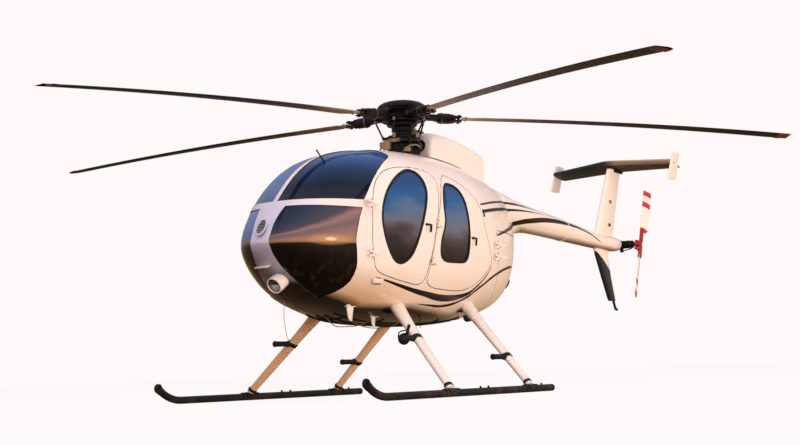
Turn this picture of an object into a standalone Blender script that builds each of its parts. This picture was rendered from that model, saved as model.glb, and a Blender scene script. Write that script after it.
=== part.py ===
# Light five-blade turbine helicopter on skids, built as separate pieces at real size.
# Metres, +Z up, nose towards -Y, port side towards +X. Sizes below are measured from
# the point on the ground under the rotor mast. All pieces hang from one empty, placed
# so that the world origin is on the ground in the middle of the whole machine.
import math

import bmesh
import bpy
from mathutils import Euler, Matrix, Vector

# Rotor and mast
ROTOR_RADIUS = 4.025
HUB_Z = 2.728
BLADE_COUNT = 5
FIRST_BLADE_DEG = -97.6
BLADE_DROOP_DEG = 2.7
BLADE_CHORD = 0.171
BLADE_ROOT_R = 0.60
GRIP_ROOT_R = 0.15
CAP_RADIUS = 0.245
SWASH_Z = 2.47
SHAFT_RADIUS = 0.040
SHAFT_BORE = 0.041
PITCH_LINK_R = 0.20
HORN_R = 0.24

# Tail
TAIL_ROTOR = Vector((0.29, 4.59, 1.70))
TAIL_ROTOR_RADIUS = 0.70
TAIL_BLADE_LEAN_DEG = 17.0
STABILIZER_Z = 2.665
STABILIZER_HALF_SPAN = 0.825

# Landing gear
SKID_X = 1.158
SKID_RADIUS = 0.034
SKID_SIDES = 14
SKID_Z = SKID_RADIUS * math.cos(math.pi / SKID_SIDES)  # a narrow flat meets the ground
SKID_REAR_Y = 0.72
STRUT_TABLE = (  # name, foot y, hull y, step height
    ("front", -1.02, -0.768, 0.52),
    ("rear", 0.31, 0.413, 0.34),
)
STRUT_HULL_X = 0.36
STRUT_HULL_Z = 0.905

# Walls and gaps
WALL = 0.030
BOOM_WALL = 0.008  # the boom is a tube, open at its root as it is where it is bolted on
BOOM_CAVITY_END_Y = 4.44
DOOR_GAP = 0.012
DOOR_TAPER = 0.40  # the doors' edges open outwards, as a share per metre
SEAT_GAP = 0.0004
GLASS_INSET = 0.008
GLASS_THICK = 0.006
FLOOR_Z = 0.86

ENGINE_SIZE = (0.36, 0.5396, 0.40)  # its lower front edge meets the firewall
ENGINE_PLACE = Vector((0.0, 1.0402, 1.38))
EXHAUST_LINE = (Vector((0.0, 1.31, 1.34)), Vector((0.0, 1.77, 1.14)))

RIBS = 40
SECTIONS = (  # y, bottom z, top z, half width, height of the widest line, squareness above, below
    (-2.158, 1.360, 1.360, 0.000, 1.360, 2.00, 2.00),
    (-2.134, 1.299, 1.421, 0.165, 1.360, 2.13, 2.00),
    (-2.060, 1.175, 1.574, 0.299, 1.350, 2.28, 2.00),
    (-1.899, 1.010, 1.770, 0.425, 1.335, 2.45, 2.05),
    (-1.684, 0.857, 1.985, 0.526, 1.320, 2.59, 2.10),
    (-1.400, 0.761, 2.160, 0.610, 1.325, 2.67, 2.15),
    (-1.050, 0.693, 2.264, 0.668, 1.351, 2.57, 2.20),
    (-0.650, 0.673, 2.314, 0.690, 1.382, 2.43, 2.25),
    (-0.200, 0.666, 2.338, 0.696, 1.414, 2.30, 2.25),
    (0.200, 0.681, 2.340, 0.679, 1.436, 2.18, 2.20),
    (0.550, 0.711, 2.316, 0.639, 1.456, 2.11, 2.15),
    (0.900, 0.755, 2.263, 0.558, 1.465, 2.07, 2.10),
    (1.200, 0.818, 2.209, 0.460, 1.483, 2.03, 2.05),
    (1.450, 0.908, 2.150, 0.350, 1.513, 2.00, 2.00),
    (1.640, 1.051, 2.095, 0.243, 1.568, 2.00, 2.00),
    (1.780, 1.252, 2.050, 0.162, 1.661, 2.00, 2.00),
    (1.900, 1.505, 1.982, 0.090, 1.763, 2.00, 2.00),
    (1.970, 1.780, 1.780, 0.000, 1.780, 2.00, 2.00),
)
BOOM_SECTIONS = (  # y, centre z, radius
    (0.95, 1.960, 0.262),
    (1.50, 1.930, 0.220),
    (1.95, 1.888, 0.176),
    (2.40, 1.855, 0.146),
    (3.10, 1.795, 0.124),
    (3.95, 1.715, 0.094),
    (4.35, 1.700, 0.090),
    (4.50, 1.700, 0.075),
)
FAIRING_SECTIONS = (  # y, base z, top z, half width of the mast fairing
    (0.215, 2.20, 2.470, 0.160),
    (0.235, 2.20, 2.545, 0.185),
    (0.290, 2.20, 2.585, 0.200),
    (0.400, 2.20, 2.595, 0.205),
    (0.700, 2.16, 2.570, 0.200),
    (1.000, 2.10, 2.520, 0.180),
    (1.240, 2.04, 2.475, 0.150),
)

# Outlines on the side view (y, z)
FRONT_DOOR = (
    (-1.310, 1.095), (-1.360, 1.250), (-1.368, 1.400), (-1.340, 1.690), (-1.265, 1.890),
    (-1.110, 2.030), (-0.880, 2.105), (-0.600, 2.135), (-0.370, 2.125), (-0.262, 2.040),
    (-0.320, 1.900), (-0.476, 1.570), (-0.588, 1.220), (-0.622, 0.990), (-0.960, 1.030),
)
REAR_DOOR = (
    (-0.590, 0.985), (-0.010, 0.955), (0.200, 0.985), (0.360, 1.060), (0.510, 1.165),
    (0.590, 1.260), (0.530, 1.390), (0.435, 1.560), (0.425, 1.730), (0.380, 1.880),
    (0.240, 1.990), (0.060, 2.070), (-0.120, 2.110), (-0.220, 2.010), (-0.285, 1.900),
    (-0.444, 1.570), (-0.556, 1.220),
)
FRONT_WINDOW = (
    (-0.660, 2.070), (-0.590, 1.980), (-0.545, 1.840), (-0.610, 1.690), (-0.680, 1.570),
    (-0.740, 1.430), (-0.800, 1.310), (-0.890, 1.210), (-1.000, 1.180), (-1.120, 1.225),
    (-1.195, 1.320), (-1.230, 1.450), (-1.225, 1.580), (-1.160, 1.730), (-1.040, 1.880),
    (-0.860, 2.005), (-0.750, 2.060),
)
REAR_WINDOW = (
    (-0.120, 1.995), (0.010, 1.950), (0.095, 1.810), (0.110, 1.620), (0.085, 1.390),
    (0.045, 1.245), (-0.170, 1.225), (-0.375, 1.225), (-0.430, 1.325), (-0.410, 1.460),
    (-0.355, 1.600), (-0.285, 1.770), (-0.200, 1.945),
)
SCREEN_SIDE = (  # ahead of the arch that the doors close on
    (-2.60, 1.725), (-1.410, 1.735), (-1.300, 1.870), (-1.120, 2.040), (-0.930, 2.130),
    (-0.820, 2.210), (-0.800, 2.600), (-2.60, 2.600),
)
SCREEN_FRONT = ((0.024, 1.700), (0.90, 1.700), (0.90, 2.70), (0.024, 2.70))
CHIN_SIDE = (
    (-2.60, 1.690), (-1.440, 1.665), (-1.510, 1.500), (-1.540, 1.360), (-1.515, 1.140),
    (-1.530, 1.020), (-1.580, 0.945), (-1.660, 0.890), (-1.800, 0.840), (-2.60, 0.700),
)
CHIN_FRONT = (
    (0.150, 1.700), (0.125, 1.610), (0.110, 1.510), (0.103, 1.390), (0.110, 1.270),
    (0.132, 1.160), (0.170, 1.060), (0.200, 0.970), (0.232, 0.880), (0.260, 0.780),
    (0.900, 0.700), (0.900, 1.800), (0.150, 1.800),
)
CABIN_VOID = ((-3.0, FLOOR_Z), (0.860, FLOOR_Z), (0.420, 1.900), (0.260, 2.60), (-3.0, 2.60))
ENGINE_VOID = ((1.015, 0.60), (0.550, 1.700), (1.70, 1.700), (2.3, 1.660), (2.3, 0.60))
COWL_DOOR = ((1.087, 0.50), (0.685, 1.450), (0.700, 1.560), (0.780, 1.600), (2.3, 1.600), (2.3, 0.50))

# Hinges: (x, y, z) of a point on the line and its direction, port side
FRONT_HINGE = (Vector((0.632, -1.378, 1.45)), Vector((0.0, 0.0, 1.0)))
REAR_HINGE = (Vector((0.706, -0.457, 1.57)), Vector((0.0, 0.300, 0.954)))
COWL_HINGE = (Vector((0.648, 0.665, 1.25)), Vector((0.0, 0.0, 1.0)))

HINGE_TABLE = {  # door: line, heights, lug from and to aft of the line, strap foot from
    "front_door": (FRONT_HINGE, (1.26, 1.70), -0.045, 0.000, 0.060),
    "rear_door": (REAR_HINGE, (1.22, 1.57), -0.006, 0.010, 0.032),
    "engine_door": (COWL_HINGE, (1.32, 1.44), -0.045, 0.000, 0.105),
}
HINGE_RADIUS = 0.011
HINGE_DEPTH = 0.12
HINGE_LENGTH = 0.020
STRAP_OUT = 0.008
STRAP_IN = -0.006
PIN_RADIUS = 0.0050
PIN_BORE = 0.0057

# Where the world origin lies, from the ground point under the mast
BLADE_TIPS = [
    math.radians(FIRST_BLADE_DEG + k * 360 / BLADE_COUNT) for k in range(BLADE_COUNT)
]
TIP_REACH = ROTOR_RADIUS * math.cos(math.radians(BLADE_DROOP_DEG))
ORIGIN = Vector((
    TIP_REACH * (max(map(math.cos, BLADE_TIPS)) + min(map(math.cos, BLADE_TIPS))) / 2,
    (TAIL_ROTOR.y + TAIL_ROTOR_RADIUS * math.sin(math.radians(TAIL_BLADE_LEAN_DEG))
     + TIP_REACH * min(map(math.sin, BLADE_TIPS))) / 2,
    0.0,
))

PAINTS = {  # colour, roughness, metallic
    "cream": ((0.82, 0.68, 0.53), 0.32, 0.0),
    "black": ((0.020, 0.020, 0.022), 0.45, 0.0),
    "glass": ((0.03, 0.045, 0.08), 0.05, 0.0),
    "metal": ((0.30, 0.28, 0.26), 0.38, 0.9),
    "leather": ((0.16, 0.10, 0.07), 0.55, 0.0),
    "tail_rotor": ((0.72, 0.05, 0.07), 0.35, 0.0),
    "lamp": ((0.80, 0.80, 0.78), 0.12, 0.6),
}


def clear_scene():
    for obj in list(bpy.data.objects):
        bpy.data.objects.remove(obj)


def paint(name):
    material = bpy.data.materials.get(name)
    if material is None:
        material = bpy.data.materials.new(name)
        material.use_nodes = True
        shader = material.node_tree.nodes["Principled BSDF"]
        colour, roughness, metallic = PAINTS[name]
        shader.inputs["Base Color"].default_value = (*colour, 1.0)
        shader.inputs["Roughness"].default_value = roughness
        shader.inputs["Metallic"].default_value = metallic
    return material


def add_object(name, mesh_bm, colour=None, helper=False):
    mesh = bpy.data.meshes.new(name)
    bmesh.ops.recalc_face_normals(mesh_bm, faces=mesh_bm.faces)
    mesh_bm.to_mesh(mesh)
    mesh_bm.free()
    obj = bpy.data.objects.new(name, mesh)
    bpy.context.scene.collection.objects.link(obj)
    obj.parent = AIRFRAME
    if colour:
        mesh.materials.append(paint(colour))
    if helper:
        obj.hide_render = True
        obj.display_type = "WIRE"
    else:
        mesh.shade_smooth()
        mesh.set_sharp_from_angle(angle=math.radians(35))
    return obj


def boolean(target, other, operation="DIFFERENCE"):
    modifier = target.modifiers.new(f"{operation} {other.name}", "BOOLEAN")
    modifier.operation = operation
    modifier.solver = "EXACT"
    modifier.object = other
    return target


def union_all(name, meshes, colour):
    """One solid from overlapping bmesh shapes."""
    first = add_object(name, meshes[0], colour)
    for number, shape in enumerate(meshes[1:]):
        boolean(first, add_object(f"{name}_join_{number}", shape, helper=True), "UNION")
    return first


# The pod

def body_shape(inset=0.0):
    """The pod's skin, moved inwards by inset along its normals."""
    bm = bmesh.new()
    rings = len(SECTIONS) - 1
    bmesh.ops.create_uvsphere(bm, u_segments=RIBS, v_segments=rings, radius=1.0)
    for vert in bm.verts:
        ring = round(math.acos(max(-1.0, min(1.0, vert.co.z))) / math.pi * rings)
        y, bottom, top, half_width, widest, above, below = SECTIONS[ring]
        angle = math.atan2(vert.co.y, vert.co.x)
        power = above if math.sin(angle) > 0 else below
        cosine = math.copysign(abs(math.cos(angle)) ** (2 / power), math.cos(angle))
        sine = math.copysign(abs(math.sin(angle)) ** (2 / power), math.sin(angle))
        if ring in (0, rings):
            cosine = sine = 0.0
        height = (top - widest) if sine > 0 else (widest - bottom)
        vert.co = (half_width * cosine, y, widest + height * sine)
    bm.normal_update()
    if inset:
        for vert, normal in [(v, v.normal.copy()) for v in bm.verts]:
            vert.co -= normal * inset
    bmesh.ops.triangulate(bm, faces=bm.faces, quad_method="FIXED")
    return bm


def prism(outline, axis, low, high):
    """Extrudes an outline along X (outline in y, z) or along Y (outline in x, z)."""
    bm = bmesh.new()
    verts = [
        bm.verts.new((low, a, b) if axis == "X" else (a, low, b)) for a, b in outline
    ]
    face = bm.faces.new(verts)
    moved = bmesh.ops.extrude_face_region(bm, geom=[face])["geom"]
    step = (high - low, 0, 0) if axis == "X" else (0, high - low, 0)
    bmesh.ops.translate(
        bm, vec=step, verts=[v for v in moved if isinstance(v, bmesh.types.BMVert)]
    )
    return bm


def shrink(outline, by):
    """Moves every side of a closed outline inwards by a distance."""
    count = len(outline)
    area = sum(
        outline[i][0] * outline[(i + 1) % count][1]
        - outline[(i + 1) % count][0] * outline[i][1]
        for i in range(count)
    )
    turn = 1.0 if area > 0 else -1.0
    points = []
    for i in range(count):
        before, here, after = (Vector(outline[(i + k) % count]) for k in (-1, 0, 1))
        first = (here - before).normalized()
        second = (after - here).normalized()
        normals = [Vector((-d.y, d.x)) * turn for d in (first, second)]
        middle = (normals[0] + normals[1]).normalized()
        points.append(tuple(here + middle * (by / max(0.3, middle.dot(normals[0])))))
    return points


def rounded(outline, times=1):
    """Chaikin's corner cutting, for a softer outline."""
    for _ in range(times):
        cut = []
        for i, here in enumerate(outline):
            after = outline[(i + 1) % len(outline)]
            for share in (0.22, 0.78):
                cut.append(tuple(a + (b - a) * share for a, b in zip(here, after)))
        outline = cut
    return outline


SIDES = (("left", 1.0), ("right", -1.0))


def side_prism(outline, side, name, taper=0.0, near=0.10, far=1.20):
    """A cutter through one wall only. Its outline is true 0.62 m from the centre plane."""
    middle = [sum(values) / len(outline) for values in zip(*outline)]

    def ring(x):
        grow = 1.0 + taper * (x - 0.62)
        return [
            (side * x, middle[0] + (y - middle[0]) * grow, middle[1] + (z - middle[1]) * grow)
            for y, z in outline
        ]

    return add_object(name, loft((near, far), ring), helper=True)


def crossing(side_outline, front_outline, side, name, shrink_by=0.0):
    """The space inside both a side-view and a front-view outline."""
    if shrink_by:
        side_outline = shrink(side_outline, shrink_by)
        front_outline = shrink(front_outline, shrink_by)
    front = [(x * side, z) for x, z in front_outline]
    cutter = add_object(name, prism(side_outline, "X", -1.2, 1.2), helper=True)
    other = add_object(f"{name}_front", prism(front, "Y", -3.0, 0.0), helper=True)
    return boolean(cutter, other, "INTERSECT")


def skin_piece(name, outer, inner, cutter, colour):
    """What lies between two skins and inside a cutter."""
    piece = add_object(name, body_shape(outer), colour)
    boolean(piece, inner)
    return boolean(piece, cutter, "INTERSECT")


def build_pod():
    inner_wall = add_object("inner_wall", body_shape(WALL), helper=True)
    add_object("mid_wall", body_shape(WALL / 2), helper=True)
    glass_inner = add_object("glass_inner", body_shape(GLASS_INSET + GLASS_THICK), helper=True)
    shell = add_object("fuselage_shell", body_shape(), "cream")
    for name, outline in (("cabin_void", CABIN_VOID), ("engine_void", ENGINE_VOID)):
        void = add_object(name, body_shape(WALL), helper=True)
        box = add_object(f"{name}_limits", prism(outline, "X", -1.2, 1.2), helper=True)
        boolean(void, box, "INTERSECT")
        boolean(shell, void)

    cowl_cut = add_object("cowl_cut", prism(COWL_DOOR, "X", -1.2, 1.2), helper=True)
    boolean(shell, cowl_cut)
    tail_pipe_way = add_object("tail_pipe_way", pipe_shape(0.110, 0.0, 0.5), helper=True)

    doors = (
        ("front", rounded(FRONT_DOOR), FRONT_WINDOW),
        ("rear", rounded(REAR_DOOR), REAR_WINDOW),
    )
    for side_name, side in SIDES:
        for place, outline, window in doors:
            name = f"{place}_door_{side_name}"
            boolean(shell, side_prism(outline, side, f"{name}_aperture", DOOR_TAPER, 0.36, 0.80))
            leaf_cut = side_prism(
                shrink(outline, DOOR_GAP), side, f"{name}_leaf", DOOR_TAPER, 0.30, 0.85)
            window_cut = side_prism(window, side, f"{name}_window_cut")
            door = skin_piece(name, 0.0, inner_wall, leaf_cut, "cream")
            boolean(door, window_cut)
            add_straps(door, f"{place}_door", side)
            pane_cut = side_prism(shrink(window, SEAT_GAP), side, f"{name}_pane_cut")
            skin_piece(f"{place}_door_window_{side_name}", GLASS_INSET, glass_inner, pane_cut, "glass")
        for place, across, ahead in (
            ("windscreen", SCREEN_SIDE, SCREEN_FRONT),
            ("chin_window", CHIN_SIDE, CHIN_FRONT),
        ):
            name = f"{place}_{side_name}"
            boolean(shell, crossing(across, ahead, side, f"{name}_cut"))
            pane_cut = crossing(across, ahead, side, f"{name}_pane_cut", SEAT_GAP)
            skin_piece(name, GLASS_INSET, glass_inner, pane_cut, "glass")
        half = side_prism(
            shrink(COWL_DOOR, DOOR_GAP), side, f"cowl_leaf_{side_name}", near=0.004)
        leaf = skin_piece(f"engine_door_{side_name}", 0.0, inner_wall, half, "cream")
        boolean(leaf, tail_pipe_way)
        add_straps(leaf, "engine_door", side)
    lugs = add_object("hinge_lugs", hinge_shapes(lug_outline, (-1, 1)), helper=True)
    boolean(lugs, bpy.data.objects["mid_wall"])
    boolean(shell, lugs, "UNION")
    boolean(shell, add_object("hinge_pins", hinge_shapes(PIN_RADIUS, (0,)), helper=True), "UNION")


def pipe_shape(radius, before=0.0, after=0.0, segments=20):
    """The exhaust's line on the centre plane, from the engine aft and down."""
    start, end = EXHAUST_LINE
    along = (end - start).normalized()
    start, end = start - along * before, end + along * after
    return cylinder(radius, (end - start).length, (start + end) / 2, along, segments)


def lug_outline(low, high, _):
    """A fixed lug, seen along the hinge line: (outwards, aft) from the line."""
    last = math.pi - math.asin(high / HINGE_RADIUS)
    turns = [-math.pi / 2 + (last + math.pi / 2) * k / 6 for k in range(7)]
    arc = [(HINGE_RADIUS * math.cos(t), HINGE_RADIUS * math.sin(t)) for t in turns]
    return [(-HINGE_DEPTH, low), (0.0, low), *arc, (-HINGE_DEPTH, high)]


def strap_outline(_, __, foot):
    """The strap that turns on the pin and bends down onto its door."""
    first = math.pi - math.asin(math.sqrt(HINGE_RADIUS ** 2 - STRAP_IN ** 2) / HINGE_RADIUS)
    last = 2 * math.pi + math.acos(STRAP_OUT / HINGE_RADIUS)
    turns = [first + (last - first) * k / 8 for k in range(9)]
    arc = [(HINGE_RADIUS * math.cos(t), HINGE_RADIUS * math.sin(t)) for t in turns]
    end = foot + 0.036
    return [(STRAP_OUT, end), (-HINGE_DEPTH, end), (-HINGE_DEPTH, foot), (STRAP_IN, foot), *arc]


def hinge_shapes(kind, levels, doors=tuple(HINGE_TABLE), sides=(1.0, -1.0)):
    """One solid per hinge and level: knuckles from an outline, or pins from a radius."""
    bm = bmesh.new()
    for door in doors:
        (base, direction), heights, low, high, foot = HINGE_TABLE[door]
        for side in sides:
            for height in heights:
                place = base + direction * ((height - base.z) / direction.z)
                for level in levels:
                    middle = level * (HINGE_LENGTH + SEAT_GAP)
                    if callable(kind):
                        outline, half = kind(low, high, foot), HINGE_LENGTH / 2
                    else:
                        turns = [2 * math.pi * (k + 0.5) / 8 for k in range(8)]
                        outline = [(kind * math.cos(t), kind * math.sin(t)) for t in turns]
                        half = 1.65 * HINGE_LENGTH
                    aft = Vector((0.0, direction.z, -direction.y))
                    rings = [
                        [place + Vector((u, 0, 0)) + aft * v + direction * (middle + way * half)
                         for u, v in outline]
                        for way in (-1, 1)
                    ]
                    rings = [[bm.verts.new((p.x * side, p.y, p.z)) for p in ring] for ring in rings]
                    bm.faces.new(rings[0])
                    bm.faces.new(rings[1])
                    for k in range(len(outline)):
                        bm.faces.new((rings[0][k - 1], rings[0][k], rings[1][k], rings[1][k - 1]))
    return bm


def add_straps(leaf, door, side):
    """Joins a door's two straps to it and bores them for the pins."""
    straps = add_object(f"{leaf.name}_straps", hinge_shapes(strap_outline, (0,), (door,), (side,)), helper=True)
    boolean(straps, bpy.data.objects["mid_wall"])
    boolean(leaf, straps, "UNION")
    bores = hinge_shapes(PIN_BORE, (0,), (door,), (side,))
    boolean(leaf, add_object(f"{leaf.name}_bores", bores, helper=True))


# Tail and mast fairing

def loft(rows, ring):
    """Bridges one closed ring of points per row and closes both ends."""
    bm = bmesh.new()
    loops = []
    for row in rows:
        verts = [bm.verts.new(point) for point in ring(row)]
        loops.append([bm.edges.new((verts[i - 1], verts[i])) for i in range(len(verts))])
    for first, second in zip(loops, loops[1:]):
        bmesh.ops.bridge_loops(bm, edges=first + second)
    bmesh.ops.holes_fill(bm, edges=[e for e in bm.edges if e.is_boundary])
    return bm


def build_boom():
    def ring(row):
        y, z, radius = row
        return [
            (radius * math.cos(2 * math.pi * k / 24), y, z + radius * math.sin(2 * math.pi * k / 24))
            for k in range(24)
        ]

    boom = add_object("tail_boom", loft(BOOM_SECTIONS, ring), "cream")
    cavity = [(y, z, radius - BOOM_WALL) for y, z, radius in BOOM_SECTIONS[:-1]]
    cavity[0] = (cavity[0][0] - 2 * BOOM_WALL, *cavity[0][1:])
    cavity.append((BOOM_CAVITY_END_Y, BOOM_SECTIONS[-1][1], BOOM_SECTIONS[-1][2] - BOOM_WALL))
    boolean(boom, add_object("boom_cavity", loft(cavity, ring), helper=True))
    boolean(boom, add_object("boom_root_clearance", body_shape(-1.5 * SEAT_GAP), helper=True))


def build_mast_fairing():
    add_object("pod_clearance", body_shape(-SEAT_GAP), helper=True)

    def ring(row):
        y, base, top, half_width = row
        points = [(-half_width, y, base), (half_width, y, base)]
        shoulder = top - 0.62 * half_width
        for k in range(13):
            turn = math.pi * k / 12
            points.append((
                half_width * math.copysign(abs(math.cos(turn)) ** 0.75, math.cos(turn)),
                y,
                shoulder + (top - shoulder) * math.sin(turn) ** 0.75,
            ))
        return points

    fairing = add_object("mast_fairing", loft(FAIRING_SECTIONS, ring), "cream")
    boolean(fairing, bpy.data.objects["pod_clearance"])
    inlet = bmesh.new()
    bmesh.ops.create_cone(
        inlet, cap_ends=True, segments=24, radius1=0.155, radius2=0.115, depth=0.30
    )
    bmesh.ops.scale(inlet, vec=(0.95, 0.62, 1), verts=inlet.verts)
    bmesh.ops.rotate(inlet, matrix=Euler((math.radians(-90), 0, 0)).to_matrix(), verts=inlet.verts)
    bmesh.ops.translate(inlet, vec=(0, 0.20, 2.455), verts=inlet.verts)
    boolean(fairing, add_object("inlet_cut", inlet, helper=True))


def wing(root, tip, root_chord, tip_chord, thickness, chord_axis=Vector((0, 1, 0)), across=Vector((1, 0, 0))):
    """A tapered slab with a rounded nose, from its root's leading edge to its tip's."""
    profile = ((0.0, 0.0), (0.03, 0.28), (0.12, 0.5), (0.35, 0.5), (0.70, 0.32), (1.0, 0.06))
    rows = ((Vector(root), root_chord), (Vector(tip), tip_chord))

    def ring(row):
        edge, chord = row
        upper = [edge + chord_axis * (a * chord) + across * (b * thickness) for a, b in profile]
        lower = [edge + chord_axis * (a * chord) - across * (b * thickness) for a, b in profile[:0:-1]]
        return upper + lower

    return loft(rows, ring)


def build_tail():
    clear = add_object("boom_clearance", loft(BOOM_SECTIONS, lambda row: [
        ((row[2] + SEAT_GAP) * math.cos(2 * math.pi * k / 24), row[0],
         row[1] + (row[2] + SEAT_GAP) * math.sin(2 * math.pi * k / 24)) for k in range(24)
    ]), helper=True)
    upper = add_object("fin_upper", wing(
        (0, 3.90, 1.66), (0, 4.36, STABILIZER_Z - 0.0254), 0.48, 0.33, 0.065), "cream")
    boolean(upper, clear)
    lower = union_all("fin_lower", [
        wing((0, 4.28, 1.00), (0, 3.90, 1.66), 0.19, 0.46, 0.06),
        tail_skid(),
    ], "cream")
    boolean(lower, clear)
    shapes = [
        wing((side * 0.80, 4.42, STABILIZER_Z), (0, 4.30, STABILIZER_Z), 0.30, 0.42, 0.05,
             across=Vector((0, 0, 1)))
        for _, side in SIDES
    ]
    for _, side in SIDES:
        plate = wing((0, 0.06, -0.17), (0, -0.03, 0.20), 0.24, 0.20, 0.022)
        bmesh.ops.rotate(
            plate, matrix=Euler((0, side * math.radians(-8), 0)).to_matrix(), verts=plate.verts
        )
        bmesh.ops.translate(plate, vec=(side * 0.808, 4.43, STABILIZER_Z), verts=plate.verts)
        shapes.append(plate)
    union_all("stabilizer", shapes, "cream")


def tail_skid():
    """The bent rod below the lower fin."""
    bm = bmesh.new()
    bmesh.ops.create_cone(bm, cap_ends=True, segments=10, radius1=0.013, radius2=0.016, depth=0.18)
    bmesh.ops.rotate(bm, matrix=Euler((math.radians(-22), 0, 0)).to_matrix(), verts=bm.verts)
    bmesh.ops.translate(bm, vec=(0, 4.38, 0.975), verts=bm.verts)
    return bm


# Rotors

def cylinder(radius, depth, place, axis=(0, 0, 1), segments=20, radius_top=None):
    bm = bmesh.new()
    bmesh.ops.create_cone(
        bm, cap_ends=True, segments=segments, depth=depth,
        radius1=radius, radius2=radius if radius_top is None else radius_top,
    )
    turn = Vector((0, 0, 1)).rotation_difference(Vector(axis)).to_matrix()
    bmesh.ops.rotate(bm, matrix=turn, verts=bm.verts)
    bmesh.ops.translate(bm, vec=place, verts=bm.verts)
    return bm


def block(size, place):
    bm = bmesh.new()
    bmesh.ops.create_cube(bm, size=1.0)
    bmesh.ops.scale(bm, vec=size, verts=bm.verts)
    bmesh.ops.translate(bm, vec=place, verts=bm.verts)
    return bm


def on_arm(bm, angle, droop_deg=0.0):
    """Turns a shape made along +X so that it lies along one blade's line."""
    turn = Matrix.Rotation(angle, 3, "Z") @ Matrix.Rotation(math.radians(droop_deg), 3, "Y")
    bmesh.ops.rotate(bm, matrix=turn, verts=bm.verts)
    bmesh.ops.translate(bm, vec=(0, 0, HUB_Z), verts=bm.verts)
    return bm


def blade_shape():
    profile = ((0.0, 0.0), (0.025, 0.032), (0.10, 0.055), (0.30, 0.060), (0.65, 0.032), (1.0, 0.004))

    def ring(row):
        radius, chord, pitch_deg = row
        pitch = math.radians(pitch_deg)
        flat = [(0.25 - a, b) for a, b in profile] + [(0.25 - a, -b) for a, b in profile[:0:-1]]
        return [
            (radius,
             chord * (a * math.cos(pitch) - b * math.sin(pitch)),
             chord * (a * math.sin(pitch) + b * math.cos(pitch)))
            for a, b in flat
        ]

    return loft((
        (BLADE_ROOT_R, 0.09, 7.0),
        (BLADE_ROOT_R + 0.16, BLADE_CHORD, 7.0),
        (ROTOR_RADIUS * 0.6, BLADE_CHORD, 4.0),
        (ROTOR_RADIUS, BLADE_CHORD, 1.0),
    ), ring)


def build_main_rotor():
    head = [cylinder(0.135, 0.15, (0, 0, HUB_Z - 0.005), segments=20)]
    head.append(cylinder(0.052, 0.14, (0, 0, HUB_Z - 0.102), segments=20))
    head.append(cylinder(SHAFT_RADIUS, 0.16, (0, 0, HUB_Z - 0.158), segments=20))
    links = [cylinder(0.15, 0.035, (0, 0, SWASH_Z + 0.0420), segments=20)]
    for angle in BLADE_TIPS:
        head.append(on_arm(block((0.30, 0.085, 0.05), (0.25, 0, 0)), angle, BLADE_DROOP_DEG))
        head.append(on_arm(cylinder(0.052, 0.17, (0.44, 0, 0), (1, 0, 0), 12), angle, BLADE_DROOP_DEG))
        head.append(on_arm(block((0.12, 0.10, 0.058), (BLADE_ROOT_R - 0.0604, 0, 0)), angle, BLADE_DROOP_DEG))
        horn = block((0.035, 0.11, 0.028), (HORN_R, 0.075, -0.012))
        head.append(on_arm(horn, angle, BLADE_DROOP_DEG))
        reach = Vector((HORN_R, 0.118, 0.0))
        reach.rotate(Euler((0, 0, angle)))
        foot = Vector((PITCH_LINK_R - 0.02, 0.06, 0.0))
        foot.rotate(Euler((0, 0, angle)))
        top = Vector((reach.x, reach.y, HUB_Z - 0.044))
        bottom = Vector((foot.x, foot.y, SWASH_Z + 0.0420))
        links.append(cylinder(0.010, (top - bottom).length, (top + bottom) / 2, top - bottom, 8))
        arm = block((0.12, 0.035, 0.03), (0.135, 0.0, 0))
        bmesh.ops.rotate(arm, matrix=Matrix.Rotation(angle + math.atan2(0.06, 0.18), 3, "Z"), verts=arm.verts)
        bmesh.ops.translate(arm, vec=(0, 0, SWASH_Z + 0.0420), verts=arm.verts)
        links.append(arm)
    shaft_clear = add_object("shaft_clearance", cylinder(0.062, 0.5, (0, 0, SWASH_Z), segments=20), helper=True)
    union_all("rotor_head", head, "black")
    boolean(union_all("swashplate_rotating", links, "black"), shaft_clear)

    cap = bmesh.new()
    bmesh.ops.create_uvsphere(cap, u_segments=28, v_segments=12, radius=1.0)
    bmesh.ops.bisect_plane(
        cap, geom=list(cap.verts) + list(cap.edges) + list(cap.faces), dist=1e-6,
        plane_co=(0, 0, 0), plane_no=(0, 0, -1), clear_outer=True,
    )
    bmesh.ops.holes_fill(cap, edges=[e for e in cap.edges if e.is_boundary])
    bmesh.ops.scale(cap, vec=(CAP_RADIUS, CAP_RADIUS, 0.085), verts=cap.verts)
    bmesh.ops.translate(cap, vec=(0, 0, HUB_Z + 0.0705), verts=cap.verts)
    add_object("hub_cap", cap, "black")

    for number, angle in enumerate(BLADE_TIPS, 1):
        blade = on_arm(blade_shape(), angle, BLADE_DROOP_DEG)
        add_object(f"main_blade_{number}", blade, "black")


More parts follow.
